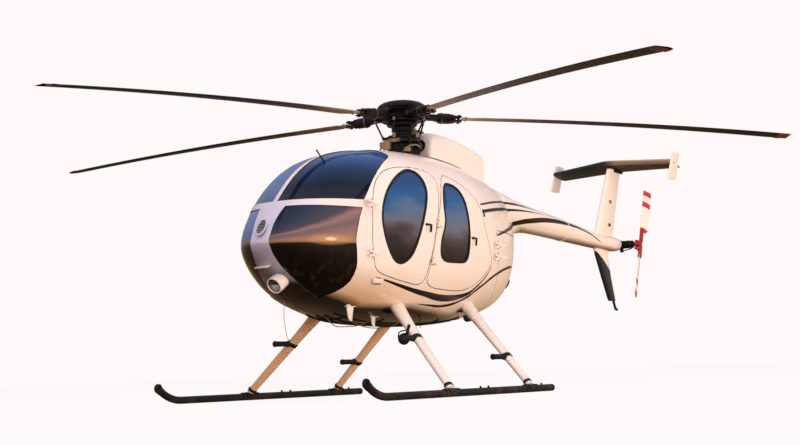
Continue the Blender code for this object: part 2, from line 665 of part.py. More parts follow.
def build_mast():
    mast = union_all("mast_support", [
        cylinder(0.165, 0.10, (0, 0, 2.372), segments=24, radius_top=0.125),
        cylinder(0.115, 0.10, (0, 0, 2.43), segments=24, radius_top=0.055),
        cylinder(0.054, 0.20, (0, 0, 2.4495), segments=20),
    ], "metal")
    boolean(mast, bpy.data.objects["pod_clearance"])
    boolean(mast, add_object("shaft_bore", cylinder(SHAFT_BORE, 0.20, (0, 0, 2.56), segments=20), helper=True))
    ring = cylinder(0.165, 0.035, (0, 0, SWASH_Z + 0.0065), segments=24)
    parts = [ring]
    for turn_deg in (90, 210, 330):
        out = Vector((0.185, 0, 0))
        out.rotate(Euler((0, 0, math.radians(turn_deg))))
        parts.append(cylinder(0.011, 0.19, (out.x, out.y, SWASH_Z - 0.075), segments=8))
        parts.append(cylinder(0.022, 0.03, (out.x * 0.93, out.y * 0.93, SWASH_Z + 0.0065), segments=8))
    lower = union_all("swashplate_fixed", parts, "metal")
    boolean(lower, bpy.data.objects["pod_clearance"])
    boolean(lower, add_object("mast_clearance", cylinder(0.1165, 0.12, (0, 0, 2.43), segments=24, radius_top=0.0565), helper=True))
    boolean(lower, bpy.data.objects["shaft_clearance"])


def build_tail_rotor():
    x, y, z = TAIL_ROTOR
    gearbox = union_all("tail_gearbox", [
        cylinder(0.062, 0.13, (0.0, 4.5654, z), (0, 1, 0), 16),
        cylinder(0.040, 0.20, (0.10, 4.59, z), (1, 0, 0), 16),
        cylinder(0.028, 0.03, (0.205, 4.59, z), (1, 0, 0), 12),
    ], "black")
    gearbox.modifiers.new("soft edges", "BEVEL").width = 0.004
    gearbox.modifiers["soft edges"].segments = 1
    gearbox.modifiers["soft edges"].limit_method = "ANGLE"
    hub = [
        cylinder(0.030, 0.07, (x - 0.0345, y, z), (1, 0, 0), 14),
        cylinder(0.050, 0.02, (x - 0.052, y, z), (1, 0, 0), 14),
    ]
    for way in (1, -1):
        blade = wing((0.0007, -0.033, 0.16), (0.0007, -0.033, TAIL_ROTOR_RADIUS), 0.135, 0.135, 0.016)
        grip = block((0.036, 0.060, 0.19), (0, 0.0, 0.105))
        for shape in (blade, grip):
            turn = Euler((math.radians(-TAIL_BLADE_LEAN_DEG + (0 if way == 1 else 180)), 0, 0))
            bmesh.ops.rotate(shape, matrix=turn.to_matrix(), verts=shape.verts)
            bmesh.ops.translate(shape, vec=TAIL_ROTOR, verts=shape.verts)
            hub.append(shape)
    union_all("tail_rotor", hub, "tail_rotor")


# Landing gear

def tube(points, radius, segments=SKID_SIDES):
    """A round bar through a list of points."""
    places = [Vector(p) for p in points]

    def ring(index):
        before = places[max(index - 1, 0)]
        after = places[min(index + 1, len(places) - 1)]
        along = (after - before).normalized()
        side = along.cross(Vector((1, 0, 0))).normalized()
        other = along.cross(side)
        return [
            places[index] + side * (radius * math.cos(2 * math.pi * (k + 0.5) / segments))
            + other * (radius * math.sin(2 * math.pi * (k + 0.5) / segments))
            for k in range(segments)
        ]

    return loft(range(len(places)), ring)


def skid_line(side):
    """Straight along the ground, then an arc up to the upturned toe."""
    points = [(side * SKID_X, SKID_REAR_Y, SKID_Z), (side * SKID_X, -1.00, SKID_Z)]
    radius, start = 0.42, -1.94
    for k in range(9):
        turn = math.radians(44) * k / 8
        points.append((
            side * SKID_X, start - radius * math.sin(turn),
            SKID_Z + radius * (1 - math.cos(turn)),
        ))
    return points


def strut_shape(side, foot_y, hull_y):
    """A faired leg: a flattened tube, with a shoe round the top of the skid."""
    foot = Vector((side * (SKID_X - 0.006), foot_y, 2 * SKID_RADIUS + 0.004))
    hull = Vector((side * STRUT_HULL_X, hull_y, STRUT_HULL_Z))
    along = hull - foot
    leg = bmesh.new()
    bmesh.ops.create_cone(leg, cap_ends=True, segments=14, radius1=0.040, radius2=0.046, depth=along.length)
    bmesh.ops.scale(leg, vec=(0.72, 1.12, 1.0), verts=leg.verts)
    turn = Vector((0, 0, 1)).rotation_difference(along).to_matrix()
    bmesh.ops.rotate(leg, matrix=turn, verts=leg.verts)
    bmesh.ops.translate(leg, vec=(foot + hull) / 2, verts=leg.verts)
    return leg, foot, along


def build_gear():
    for side_name, side in SIDES:
        add_object(f"skid_{side_name}", tube(skid_line(side), SKID_RADIUS), "black")
        solid = add_object(f"skid_{side_name}_room", tube([
            (side * SKID_X, 1.0, SKID_Z), (side * SKID_X, -1.6, SKID_Z),
        ], SKID_RADIUS + SEAT_GAP), helper=True)
        for place, foot_y, hull_y, step_z in STRUT_TABLE:
            leg, foot, along = strut_shape(side, foot_y, hull_y)
            shoe = cylinder(SKID_RADIUS + 0.012, 0.13, (side * SKID_X, foot_y, SKID_RADIUS), (0, 1, 0), 16)
            bmesh.ops.bisect_plane(
                shoe, geom=list(shoe.verts) + list(shoe.edges) + list(shoe.faces), dist=1e-6,
                plane_co=(0, 0, SKID_RADIUS), plane_no=(0, 0, -1), clear_outer=True,
            )
            bmesh.ops.holes_fill(shoe, edges=[e for e in shoe.edges if e.is_boundary])
            at_step = foot + along * ((step_z - foot.z) / along.z)
            step = cylinder(0.024, 0.24, at_step + Vector((0, -0.14, 0)), (0, 1, 0), 12)
            strut = union_all(f"strut_{place}_{side_name}", [leg, shoe, step], "cream")
            boolean(strut, solid)
            boolean(strut, bpy.data.objects["pod_clearance"])


# Cabin

def seat_shapes(x, y, width, back_height, base_x, base_width):
    base = block((base_width, 0.36, 0.20), (base_x, y, FLOOR_Z + 0.1004))
    cushion = block((width - 0.02, 0.44, 0.11), (x, y - 0.02, FLOOR_Z + 0.25))
    back = block((width - 0.02, 0.11, back_height), (0, 0, back_height / 2))
    bmesh.ops.rotate(back, matrix=Euler((math.radians(-12), 0, 0)).to_matrix(), verts=back.verts)
    bmesh.ops.translate(back, vec=(x, y + 0.20, FLOOR_Z + 0.22), verts=back.verts)
    return [base, cushion, back]


def build_cabin():
    for side_name, side in SIDES:
        union_all(f"front_seat_{side_name}", seat_shapes(
            side * 0.29, -0.98, 0.46, 0.62, side * 0.23, 0.30), "leather")
    union_all("rear_bench", seat_shapes(0.0, 0.12, 1.04, 0.60, 0.0, 0.76), "leather")
    union_all("instrument_panel", [
        block((0.16, 0.20, 0.30), (0, -1.44, FLOOR_Z + 0.1504)),
        block((0.34, 0.12, 0.30), (0, -1.52, FLOOR_Z + 0.40)),
    ], "black")
    add_object("engine_block", block(ENGINE_SIZE, ENGINE_PLACE), "metal")
    stack = add_object("exhaust_pipe", pipe_shape(0.088, 0.10), "metal")
    room = [size + 2 * SEAT_GAP for size in ENGINE_SIZE]
    boolean(stack, add_object("engine_room", block(room, ENGINE_PLACE), helper=True))
    boolean(stack, add_object("exhaust_bore", pipe_shape(0.080, -0.10, 0.1), helper=True))


def build_landing_light():
    lamp = cylinder(0.062, 0.16, (0, -1.935, 1.03), (0, -0.86, -0.51), 20)
    boolean(add_object("landing_light", lamp, "lamp"), bpy.data.objects["pod_clearance"])


def hang_on_axis(name, place, pieces):
    """Hangs moving pieces on an empty that stands on their joint's axis."""
    axis = bpy.data.objects.new(name, None)
    axis.parent = AIRFRAME
    axis.location = place
    bpy.context.scene.collection.objects.link(axis)
    for piece in pieces:
        piece.parent = axis
        piece.location = -Vector(place)


def hang_moving_pieces():
    objects = bpy.data.objects
    blades = [objects[f"main_blade_{number}"] for number in range(1, BLADE_COUNT + 1)]
    head = [objects[name] for name in ("rotor_head", "hub_cap", "swashplate_rotating")]
    hang_on_axis("main_rotor_axis", (0, 0, HUB_Z), head + blades)
    hang_on_axis("tail_rotor_axis", TAIL_ROTOR, [objects["tail_rotor"]])
    for door, (axis, *_) in HINGE_TABLE.items():
        for side_name, side in SIDES:
            base = Vector((axis[0].x * side, axis[0].y, axis[0].z))
            pieces = [objects[f"{door}_{side_name}"]]
            if f"{door}_window_{side_name}" in objects:
                pieces.append(objects[f"{door}_window_{side_name}"])
            hang_on_axis(f"{door}_{side_name}_axis", base, pieces)


clear_scene()
AIRFRAME = bpy.data.objects.new("airframe", None)
AIRFRAME.location = -ORIGIN
bpy.context.scene.collection.objects.link(AIRFRAME)
build_pod()
build_boom()
build_mast_fairing()
build_tail()
build_main_rotor()
build_mast()
build_tail_rotor()
build_gear()
build_cabin()
build_landing_light()
hang_moving_pieces()
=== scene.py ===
# %% [markdown]
# A light turbine helicopter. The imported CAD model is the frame: every piece made here
# rides on one of its bodies, in metres, in the same place as the solid it dresses.

# %% The frame and the datum
import math

import bmesh
import bpy
from mathutils.bvhtree import BVHTree
from mathutils import Euler, Matrix, Vector


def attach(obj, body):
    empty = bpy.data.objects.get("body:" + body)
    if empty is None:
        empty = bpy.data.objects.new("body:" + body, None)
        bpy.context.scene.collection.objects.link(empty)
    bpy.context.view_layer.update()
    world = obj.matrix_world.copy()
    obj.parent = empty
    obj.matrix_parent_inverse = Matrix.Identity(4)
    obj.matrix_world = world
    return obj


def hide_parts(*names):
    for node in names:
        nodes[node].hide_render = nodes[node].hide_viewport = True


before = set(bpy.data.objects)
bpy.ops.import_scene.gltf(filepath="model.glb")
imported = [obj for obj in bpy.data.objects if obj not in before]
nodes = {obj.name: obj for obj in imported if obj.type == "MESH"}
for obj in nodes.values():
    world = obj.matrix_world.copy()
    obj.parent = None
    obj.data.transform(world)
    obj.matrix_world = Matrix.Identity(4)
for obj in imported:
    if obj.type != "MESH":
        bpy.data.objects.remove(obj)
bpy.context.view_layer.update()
MAST = Vector((0.16432, -0.40472, 0.0))
SIDES = (("left", 1.0), ("right", -1.0))
print("CAD nodes:", len(nodes))

# %% [markdown]
# Shader maths reads best as plain expressions, so one small class wraps a socket and
# turns + - * / into Math nodes. A finish is one Principled material with a few of its
# inputs fed by such expressions.

# %% Sockets and finishes
class Value:
    def __init__(self, tree, socket):
        self.tree = tree
        self.socket = socket

    def math(self, operation, *others, clamp=False):
        node = self.tree.nodes.new("ShaderNodeMath")
        node.operation = operation
        node.use_clamp = clamp
        for number, item in enumerate((self, *others)):
            plug(self.tree, item, node.inputs[number])
        return Value(self.tree, node.outputs[0])

    def flipped(self, operation, other):
        node = self.tree.nodes.new("ShaderNodeMath")
        node.operation = operation
        plug(self.tree, other, node.inputs[0])
        plug(self.tree, self, node.inputs[1])
        return Value(self.tree, node.outputs[0])

    def __add__(self, other):
        return self.math("ADD", other)

    def __radd__(self, other):
        return self.flipped("ADD", other)

    def __sub__(self, other):
        return self.math("SUBTRACT", other)

    def __rsub__(self, other):
        return self.flipped("SUBTRACT", other)

    def __mul__(self, other):
        return self.math("MULTIPLY", other)

    def __rmul__(self, other):
        return self.flipped("MULTIPLY", other)

    def __truediv__(self, other):
        return self.math("DIVIDE", other)

    def __rtruediv__(self, other):
        return self.flipped("DIVIDE", other)

    def size(self):
        return self.math("ABSOLUTE")

    def held(self):
        return self.math("ADD", 0.0, clamp=True)

    def ramp(self, low, high):
        """0 below low, 1 above high, straight in between."""
        return ((self - low) / (high - low)).held()


def plug(tree, item, socket):
    if isinstance(item, Value):
        tree.links.new(item.socket, socket)
    else:
        socket.default_value = item


class Finish:
    def __init__(self, name, colour, roughness=0.5, metallic=0.0, **constants):
        self.material = bpy.data.materials.new(name)
        self.material.use_nodes = True
        self.tree = self.material.node_tree
        self.shader = self.tree.nodes["Principled BSDF"]
        self.feed("Base Color", (*colour, 1.0))
        self.feed("Roughness", roughness)
        self.feed("Metallic", metallic)
        for key, value in constants.items():
            self.feed(key.replace("_", " "), value)

    def feed(self, socket, item):
        plug(self.tree, item, self.shader.inputs[socket])

    def node(self, kind, settings=None, values=None, output=0):
        node = self.tree.nodes.new(kind)
        for key, value in (settings or {}).items():
            if key == "stops":
                ramp = node.color_ramp
                while len(ramp.elements) < len(value):
                    ramp.elements.new(1.0)
                for stop, (place, colour) in zip(ramp.elements, value):
                    stop.position = place
                    stop.color = (*colour, 1.0)
            elif key == "curve":
                curve = node.mapping.curves[0]
                for _ in range(len(value) - 2):
                    curve.points.new(0.5, 0.5)
                for point, place in zip(curve.points, sorted(value)):
                    point.location = place
                node.mapping.update()
            else:
                setattr(node, key, value)
        for key, item in (values or {}).items():
            plug(self.tree, item, node.inputs[key])
        return Value(self.tree, node.outputs[output])

    def place(self):
        """(x, y, z) from the ground point under the mast."""
        where = self.node("ShaderNodeTexCoord", output=3)
        moved = self.node("ShaderNodeVectorMath", {"operation": "SUBTRACT"}, {0: where, 1: tuple(MAST)})
        self.where = moved
        split = self.tree.nodes.new("ShaderNodeSeparateXYZ")
        plug(self.tree, moved, split.inputs[0])
        return [Value(self.tree, socket) for socket in split.outputs]

    def noise(self, scale, detail=2.0, stretch=None):
        where = self.node("ShaderNodeTexCoord", output=3)
        if stretch:
            where = self.node("ShaderNodeMapping", None, {"Vector": where, "Scale": stretch})
        return self.node("ShaderNodeTexNoise", None, {"Vector": where, "Scale": scale, "Detail": detail})

    def mix(self, share, first, second):
        """A colour between two: share 0 gives the first."""
        node = self.tree.nodes.new("ShaderNodeMix")
        node.data_type = "RGBA"
        plug(self.tree, share, node.inputs[0])
        for number, item in ((6, first), (7, second)):
            plug(self.tree, item if isinstance(item, Value) else (*item, 1.0), node.inputs[number])
        return Value(self.tree, node.outputs[2])

    def bump(self, height, strength, distance):
        self.feed("Normal", self.node(
            "ShaderNodeBump", None, {"Height": height, "Strength": strength, "Distance": distance}))


# %% [markdown]
# The paint is a warm cream gloss with thin dark brown stripes. A stripe is a curve on the
# side view, so two Float Curves give its height and half width at each station along
# the body. Painted warm light tints the lower flanks tan, painted cool light tints the nose,
# and painted shade darkens the lower nose and the underside of the boom. The belly pan
# is black, and its black also stands in for the shade under the nose and the belly.

# %% Stripes and cream paint
STRIPES = (  # rows of: station y, height z, half width
    ((-1.29, 1.062, 0.001), (-1.15, 1.035, 0.008), (-0.93, 0.992, 0.014), (-0.52, 0.932, 0.023), (-0.12, 0.902, 0.030),
     (0.19, 0.940, 0.022), (0.37, 1.030, 0.015), (0.52, 1.145, 0.011), (0.62, 1.250, 0.001)),
    ((-0.55, 0.845, 0.001), (-0.35, 0.835, 0.008), (-0.11, 0.832, 0.012), (0.18, 0.890, 0.015), (0.44, 1.020, 0.016),
     (0.80, 1.170, 0.016), (1.26, 1.262, 0.014), (1.42, 1.270, 0.001)),
    ((0.44, 1.832, 0.009), (1.00, 1.915, 0.012), (1.59, 1.972, 0.013), (2.00, 1.978, 0.009), (2.35, 1.955, 0.001)),
    ((0.46, 1.765, 0.017), (1.00, 1.838, 0.017), (1.61, 1.900, 0.014), (2.10, 1.925, 0.008), (2.55, 1.920, 0.001)),
    ((0.73, 1.545, 0.010), (1.10, 1.625, 0.018), (1.48, 1.700, 0.022), (2.24, 1.835, 0.028), (2.70, 1.865, 0.026),
     (3.20, 1.848, 0.019), (3.59, 1.790, 0.012), (3.80, 1.730, 0.008), (3.93, 1.690, 0.001)),
)


def stripe_mask(finish, y, z, rows):
    """1 inside one stripe, with an edge about a millimetre soft."""
    first, last = rows[0][0], rows[-1][0]
    low = min(row[1] for row in rows) - 0.02
    high = max(row[1] for row in rows) + 0.02
    widest = max(row[2] for row in rows)
    along = ((y - first) / (last - first)).held()
    line = [((row[0] - first) / (last - first), (row[1] - low) / (high - low)) for row in rows]
    width = [((row[0] - first) / (last - first), row[2] / widest) for row in rows]
    middle = finish.node("ShaderNodeFloatCurve", {"curve": line}, {"Value": along}) * (high - low) + low
    half = finish.node("ShaderNodeFloatCurve", {"curve": width}, {"Value": along}) * widest
    inside = (half - (z - middle).size()).ramp(-0.0008, 0.0008)
    return inside * y.math("GREATER_THAN", first) * y.math("LESS_THAN", last)


CREAM = (0.92, 0.765, 0.685)
# painted warm light for the lower flanks
PAINTED_WARM_LIGHT = (0.74, 0.42, 0.20)
STRIPE = (0.004, 0.0015, 0.0012)
# black of the belly pan, also used as painted shade under the nose and the belly
PAN_BLACK_AND_SHADE = (0.006, 0.0055, 0.006)
# painted cool light for the nose
PAINTED_COOL_LIGHT = (0.66, 0.60, 0.76)
# painted shade for the lower nose
SHADE = (0.070, 0.066, 0.078)


def cream_paint(name, striped=True, belly=True):
    finish = Finish(name, CREAM, 0.28, 0.0, Coat_Weight=0.6, Coat_Roughness=0.06)
    x, y, z = finish.place()
    mottle = finish.noise(3.0, 3.0)
    tone = finish.mix(mottle * 0.35, CREAM, (0.90, 0.74, 0.60))
    # Only the pod's paint gets the painted light and shade below, and the black belly pan.
    if belly:
        # Painted cool light: the nose is tinted lavender.
        nose = (-1.72 - y).ramp(0.0, 0.30)
        tone = finish.mix(nose * 0.85, tone, PAINTED_COOL_LIGHT)
        # Painted warm light: the lower flanks are tinted tan, more weakly further aft.
        film_and_warm_light = (1.16 - z + mottle * 0.06).ramp(0.02, 0.34) * (1 - (y + 1.25).ramp(0.0, 0.60) * 0.70)
        tone = finish.mix(film_and_warm_light * (1 - nose), tone, PAINTED_WARM_LIGHT)
        # Painted shade darkens the lower tip of the nose, held back on its port side.
        shade = (1.40 - z).ramp(0.0, 0.16) * (-1.98 - y).ramp(0.0, 0.06) * (x + 0.10).ramp(-0.06, 0.26)
        tone = finish.mix((1 - shade) * (1.36 - z).ramp(0.0, 0.12) * (-1.90 - y).ramp(0.0, 0.08) * 0.85, tone, SHADE)
        # Painted shadow: the bottom of the nose under the chin window turns black.
        front = (1.10 - z).ramp(0.0, 0.09) * (-1.66 - y).ramp(0.0, 0.16)
        tone = finish.mix(front, tone, PAN_BLACK_AND_SHADE)
        # The belly pan is painted black, reaching higher towards the nose; its black also stands in for the shade under
        # the belly.
        pan_and_shade = (0.845 - z - (y + 0.6).math("MAXIMUM", 0.0) * 0.085 + (-1.25 - y).math("MAXIMUM", 0.0) * 0.27
               + mottle * 0.02).ramp(0.0, 0.060)
        tone = finish.mix(pan_and_shade, tone, PAN_BLACK_AND_SHADE)
        # Painted shade: the lower half of the boom aft of the pod turns dark brown.
        painted_shade_and_haze = (1.845 - y * 0.045 - z + mottle * 0.02).ramp(0.0, 0.045) * (y - 1.85).ramp(0.0, 0.25)
        tone = finish.mix(painted_shade_and_haze, tone, (0.20, 0.085, 0.035))
    if striped:
        plain_coat = 0.6
        for rows in STRIPES:
            inside = stripe_mask(finish, y, z, rows)
            tone = finish.mix(inside, tone, STRIPE)
            plain_coat = (1 - inside) * plain_coat
        finish.feed("Coat Weight", plain_coat)
    finish.feed("Base Color", tone)
    finish.feed("Roughness", 0.22 + mottle * 0.14)
    finish.bump(finish.noise(220.0, 1.0), 0.04, 0.001)
    return finish.material


pod_paint = cream_paint("pod_paint")
plain_paint = cream_paint("plain_paint", striped=False, belly=False)
print("painted stripes:", len(STRIPES))

# %% [markdown]
# The glazing is dark tinted acrylic. Its colour is a painted reflection of the sky: deep blue
# high up, a pale haze with a warm band at eye level and near-black below. Its alpha lets a
# little of the cabin through.

# %% Tinted glass
def painted_sky_glass(name, levels, alpha=0.93, sweep=0.10):
    """levels are (height z, colour) rows of painted sky reflection from low to high, and sweep is how far clouds shift
    them.
    """
    finish = Finish(name, (0.02, 0.03, 0.05), 0.03, 0.0, Coat_Weight=0.35, Coat_Roughness=0.02, IOR=1.4)
    x, y, z = finish.place()
    cloud = finish.noise(2.6, 4.0, (1.0, 0.8, 2.2))
    low, high = levels[0][0], levels[-1][0]
    height = ((z + (cloud - 0.5) * sweep) - low) / (high - low)
    stops = [((level - low) / (high - low), colour) for level, colour in levels]
    tone = finish.node("ShaderNodeValToRGB", {"stops": stops}, {"Fac": height})
    finish.feed("Base Color", tone)
    finish.feed("Roughness", 0.02 + cloud * 0.05)
    finish.feed("Alpha", alpha)
    return finish.material


screen_glass = painted_sky_glass("screen_glass", (
    (1.72, (0.018, 0.018, 0.026)), (1.86, (0.005, 0.009, 0.022)), (2.02, (0.007, 0.024, 0.070)),
    (2.15, (0.012, 0.060, 0.190)), (2.28, (0.05, 0.13, 0.34))), 0.93)
# The far windscreen and far chin window get their own paler painted reflections.
far_screen_glass = painted_sky_glass("far_screen_glass", (
    (1.72, (0.10, 0.15, 0.24)), (1.86, (0.12, 0.20, 0.40)), (2.02, (0.10, 0.20, 0.46)),
    (2.15, (0.07, 0.15, 0.40)), (2.28, (0.06, 0.14, 0.34))), 0.90)
far_chin_glass = painted_sky_glass("far_chin_glass", (
    (1.000, (0.004, 0.003, 0.003)), (1.180, (0.012, 0.007, 0.004)), (1.330, (0.060, 0.030, 0.016)),
    (1.370, (0.22, 0.17, 0.18)), (1.430, (0.13, 0.19, 0.40)), (1.640, (0.15, 0.24, 0.50))))
door_glass = painted_sky_glass("door_glass", (
    (1.20, (0.005, 0.004, 0.004)), (1.38, (0.020, 0.013, 0.012)), (1.47, (0.060, 0.045, 0.045)),
    (1.56, (0.130, 0.125, 0.170)), (1.67, (0.090, 0.140, 0.240)), (1.78, (0.014, 0.095, 0.260)),
    (1.92, (0.008, 0.060, 0.210)), (2.08, (0.006, 0.028, 0.110))), 0.95, 0.34)

# The chin window gets a painted reflection of a low sun: black ground, a bright line, and a fan of warm haze.
HORIZON = 1.362
haze_finish = Finish("chin_glass", (0.02, 0.02, 0.03), 0.03, 0.0, Coat_Weight=0.35, Coat_Roughness=0.02, IOR=1.4)
_, haze_y, haze_z = haze_finish.place()
painted_shade_and_haze = haze_finish.noise(3.0, 4.0, (1.0, 1.0, 3.0))
fan = (haze_z - HORIZON) / (haze_y + 2.26) + (painted_shade_and_haze - 0.5) * 0.10
haze_tone = haze_finish.node("ShaderNodeValToRGB", {"stops": (
    (0.00, (0.42, 0.21, 0.10)), (0.10, (0.30, 0.17, 0.13)), (0.24, (0.17, 0.11, 0.12)), (0.34, (0.30, 0.17, 0.15)),
    (0.43, (0.075, 0.060, 0.080)), (0.62, (0.035, 0.045, 0.075)), (0.95, (0.014, 0.022, 0.042)))}, {"Fac": fan})
brush = haze_finish.noise(16.0, 3.0, (1.0, 1.0, 0.5)).ramp(0.55, 0.80)
ground = haze_finish.mix(brush * (1.36 - haze_z).ramp(0.0, 0.20), (0.0035, 0.0025, 0.002), (0.040, 0.022, 0.012))
haze_tone = haze_finish.mix((HORIZON + (painted_shade_and_haze - 0.5) * 0.02 - haze_z).ramp(0.0, 0.022), haze_tone, ground)
sun_y, sun_z = (haze_y + 1.775) / 0.060, (haze_z - 1.376) / 0.020
sun = (1 - sun_y * sun_y - sun_z * sun_z).held()
halo_y, halo_z = (haze_y + 1.775) / 0.22, (haze_z - 1.372) / 0.055
halo = (1 - halo_y * halo_y - halo_z * halo_z).held()
haze_tone = haze_finish.mix(halo * 0.55, haze_tone, (0.80, 0.36, 0.13))
haze_tone = haze_finish.mix(sun, haze_tone, (1.0, 0.78, 0.42))
haze_finish.feed("Base Color", haze_tone)
haze_finish.feed("Roughness", 0.02 + painted_shade_and_haze * 0.05)
haze_finish.feed("Alpha", 0.95)
chin_glass = haze_finish.material

# %% [markdown]
# The other finishes: black rotor paint with worn edges, bronze and grey metal, rubber,
# leather, red and white tail blades, and a lamp's glass.

# %% Black, metal, rubber and leather
def worn(name, colour, edge, roughness, metallic=0.0, scale=18.0, share=0.25, **constants):
    finish = Finish(name, colour, roughness, metallic, **constants)
    patches = finish.noise(scale, 5.0)
    finish.feed("Base Color", finish.mix(patches.ramp(0.52, 0.75) * share, colour, edge))
    finish.feed("Roughness", roughness + (patches - 0.5) * 0.25)
    finish.bump(finish.noise(scale * 12, 2.0), 0.12, 0.001)
    return finish.material


rotor_black = worn("rotor_black", (0.006, 0.006, 0.007), (0.060, 0.045, 0.035), 0.38, 0.0, Specular_IOR_Level=0.25)
bronze_metal = worn("bronze_metal", (0.20, 0.12, 0.07), (0.48, 0.34, 0.22), 0.36, 0.75, 26.0, 0.8)
steel_metal = worn("steel_metal", (0.42, 0.40, 0.38), (0.70, 0.66, 0.60), 0.30, 0.95, 30.0, 0.6)
skid_black = worn("skid_black", (0.012, 0.010, 0.011), (0.085, 0.055, 0.042), 0.42, 0.1, 7.0, 0.55, Specular_IOR_Level=0.3)
rubber = worn("rubber", (0.010, 0.010, 0.011), (0.05, 0.05, 0.05), 0.62, 0.0, 40.0, 0.4)
fin_black = worn("fin_black", (0.014, 0.015, 0.019), (0.06, 0.06, 0.07), 0.38, 0.0, 9.0, 0.5)
cabin_trim = worn("cabin_trim", (0.030, 0.027, 0.026), (0.07, 0.06, 0.055), 0.7, 0.0, 60.0, 0.5)
slate_paint = worn("slate_paint", (0.030, 0.036, 0.048), (0.16, 0.13, 0.11), 0.42, 0.0, 4.0, 0.5)
exhaust_metal = worn("exhaust_metal", (0.10, 0.075, 0.06), (0.30, 0.20, 0.13), 0.5, 0.9, 14.0, 0.8)
gold_wire = worn("gold_wire", (0.45, 0.34, 0.22), (0.60, 0.50, 0.36), 0.4, 0.7, 40.0, 0.5)

# The landing lamp's lens is painted pale below and dark above: a painted reflection.
nose_lamp = Finish("nose_lamp_glass", (0.85, 0.87, 0.90), 0.05, 0.3, Coat_Weight=1.0)
_, _, lamp_z = nose_lamp.place()
nose_lamp.feed("Base Color", nose_lamp.mix(lamp_z.ramp(0.995, 1.004), (0.90, 0.90, 0.92), (0.035, 0.035, 0.045)))
nose_lamp.feed("Roughness", 0.05 + nose_lamp.noise(40.0) * 0.05)
nose_lamp_glass = nose_lamp.material

leather_finish = Finish("seat_leather", (0.11, 0.055, 0.032), 0.5)
grain = leather_finish.node("ShaderNodeTexVoronoi", {"feature": "F1"}, {
    "Vector": leather_finish.node("ShaderNodeTexCoord", output=3), "Scale": 260.0})
wear = leather_finish.noise(5.0, 4.0)
leather_finish.feed("Base Color", leather_finish.mix(wear.ramp(0.45, 0.75), (0.10, 0.048, 0.028), (0.22, 0.12, 0.075)))
leather_finish.feed("Roughness", 0.42 + wear * 0.2)
leather_finish.bump(grain, 0.35, 0.0015)
seat_leather = leather_finish.material

webbing_finish = Finish("belt_webbing", (0.03, 0.03, 0.033), 0.75)
rib = webbing_finish.node("ShaderNodeTexWave", {"bands_direction": "DIAGONAL"}, {
    "Vector": webbing_finish.node("ShaderNodeTexCoord", output=3), "Scale": 120.0, "Distortion": 0.5})
webbing_finish.feed("Base Color", webbing_finish.mix(rib, (0.020, 0.020, 0.024), (0.055, 0.052, 0.052)))
webbing_finish.feed("Roughness", 0.70 + rib * 0.15)
webbing_finish.bump(rib, 0.4, 0.001)
belt_webbing = webbing_finish.material

DIAL_STEP_X, DIAL_STEP_Z, TOP_DIAL_Z = 0.105, 0.090, 1.340
dial_finish = Finish("dial_face", (0.01, 0.01, 0.012), 0.35, 0.0, Coat_Weight=0.6)
dial_x, _, dial_z = dial_finish.place()
across = dial_x - (dial_x / DIAL_STEP_X).math("ROUND") * DIAL_STEP_X
up = (dial_z - TOP_DIAL_Z) - ((dial_z - TOP_DIAL_Z) / DIAL_STEP_Z).math("ROUND") * DIAL_STEP_Z
reach = (across * across + up * up).math("SQRT")
turn = across.math("ARCTAN2", up) * (24 / (2 * math.pi))
tick = (turn - turn.math("ROUND")).size().math("LESS_THAN", 0.14)
tick = tick * reach.math("GREATER_THAN", 0.024) * reach.math("LESS_THAN", 0.031)
hand = (across * 0.8 - up * 0.6).size().math("LESS_THAN", 0.0015) * reach.math("LESS_THAN", 0.024)
dial_finish.feed("Base Color", dial_finish.mix((tick + hand).held(), (0.008, 0.008, 0.010), (0.75, 0.74, 0.68)))
dial_finish.feed("Roughness", 0.30 + dial_finish.noise(60.0) * 0.1)
dial_face = dial_finish.material

lamp_finish = Finish("lamp_glass", (0.85, 0.87, 0.90), 0.05, 0.3, Coat_Weight=1.0)
ribs = lamp_finish.node("ShaderNodeTexWave", {"bands_direction": "X"}, {
    "Vector": lamp_finish.node("ShaderNodeTexCoord", output=3), "Scale": 60.0, "Distortion": 0.0})
lamp_finish.feed("Base Color", lamp_finish.mix(ribs * 0.4, (0.88, 0.88, 0.92), (0.42, 0.42, 0.46)))
lamp_glass = lamp_finish.material


def banded(name, bands, base, centre, axis_pair, gloss=0.3, coat=0.4):
    """Bands of colour by distance from a hub: rows of (from radius, colour)."""
    finish = Finish(name, base, gloss, 0.0, Coat_Weight=coat)
    place = finish.place()
    first, second = (place[i] - centre[i] for i in axis_pair)
    radius = (first * first + second * second).math("SQRT")
    film_and_warm_light = finish.noise(9.0, 4.0)
    tone = base
    for start, colour, soft in bands:
        tone = finish.mix((radius + (film_and_warm_light - 0.5) * soft).ramp(start, start + 0.004 + soft), tone, colour)
    tone = finish.mix(film_and_warm_light.ramp(0.50, 0.8) * 0.10, tone, (0.25, 0.20, 0.17))
    finish.feed("Base Color", tone)
    finish.feed("Roughness", gloss + (film_and_warm_light - 0.5) * 0.2)
    return finish.material


blade_paint = banded("blade_paint", (
    (0.66, (0.22, 0.14, 0.075), 0.02), (0.98, (0.050, 0.032, 0.020), 0.30), (1.5, (0.010, 0.009, 0.009), 0.5),
    (3.93, (0.16, 0.035, 0.020), 0.01)), (0.40, 0.29, 0.20), (0, 0, 0), (0, 1), 0.5, 0.0)
RED = (0.62, 0.025, 0.035)
WHITE = (0.86, 0.82, 0.74)
tail_blade_paint = banded("tail_blade_paint", (
    (0.205, WHITE, 0.0), (0.481, RED, 0.0), (0.548, WHITE, 0.0), (0.629, RED, 0.0)),
    RED, (0.29, 4.59, 1.70), (1, 2))
print("finishes ready")

# %% [markdown]
# The helpers that follow make every shape: rows of a table smoothed into more rows, rings
# bridged into a loft, profiles spun on a lathe, rods, rounded blocks and carved pieces.

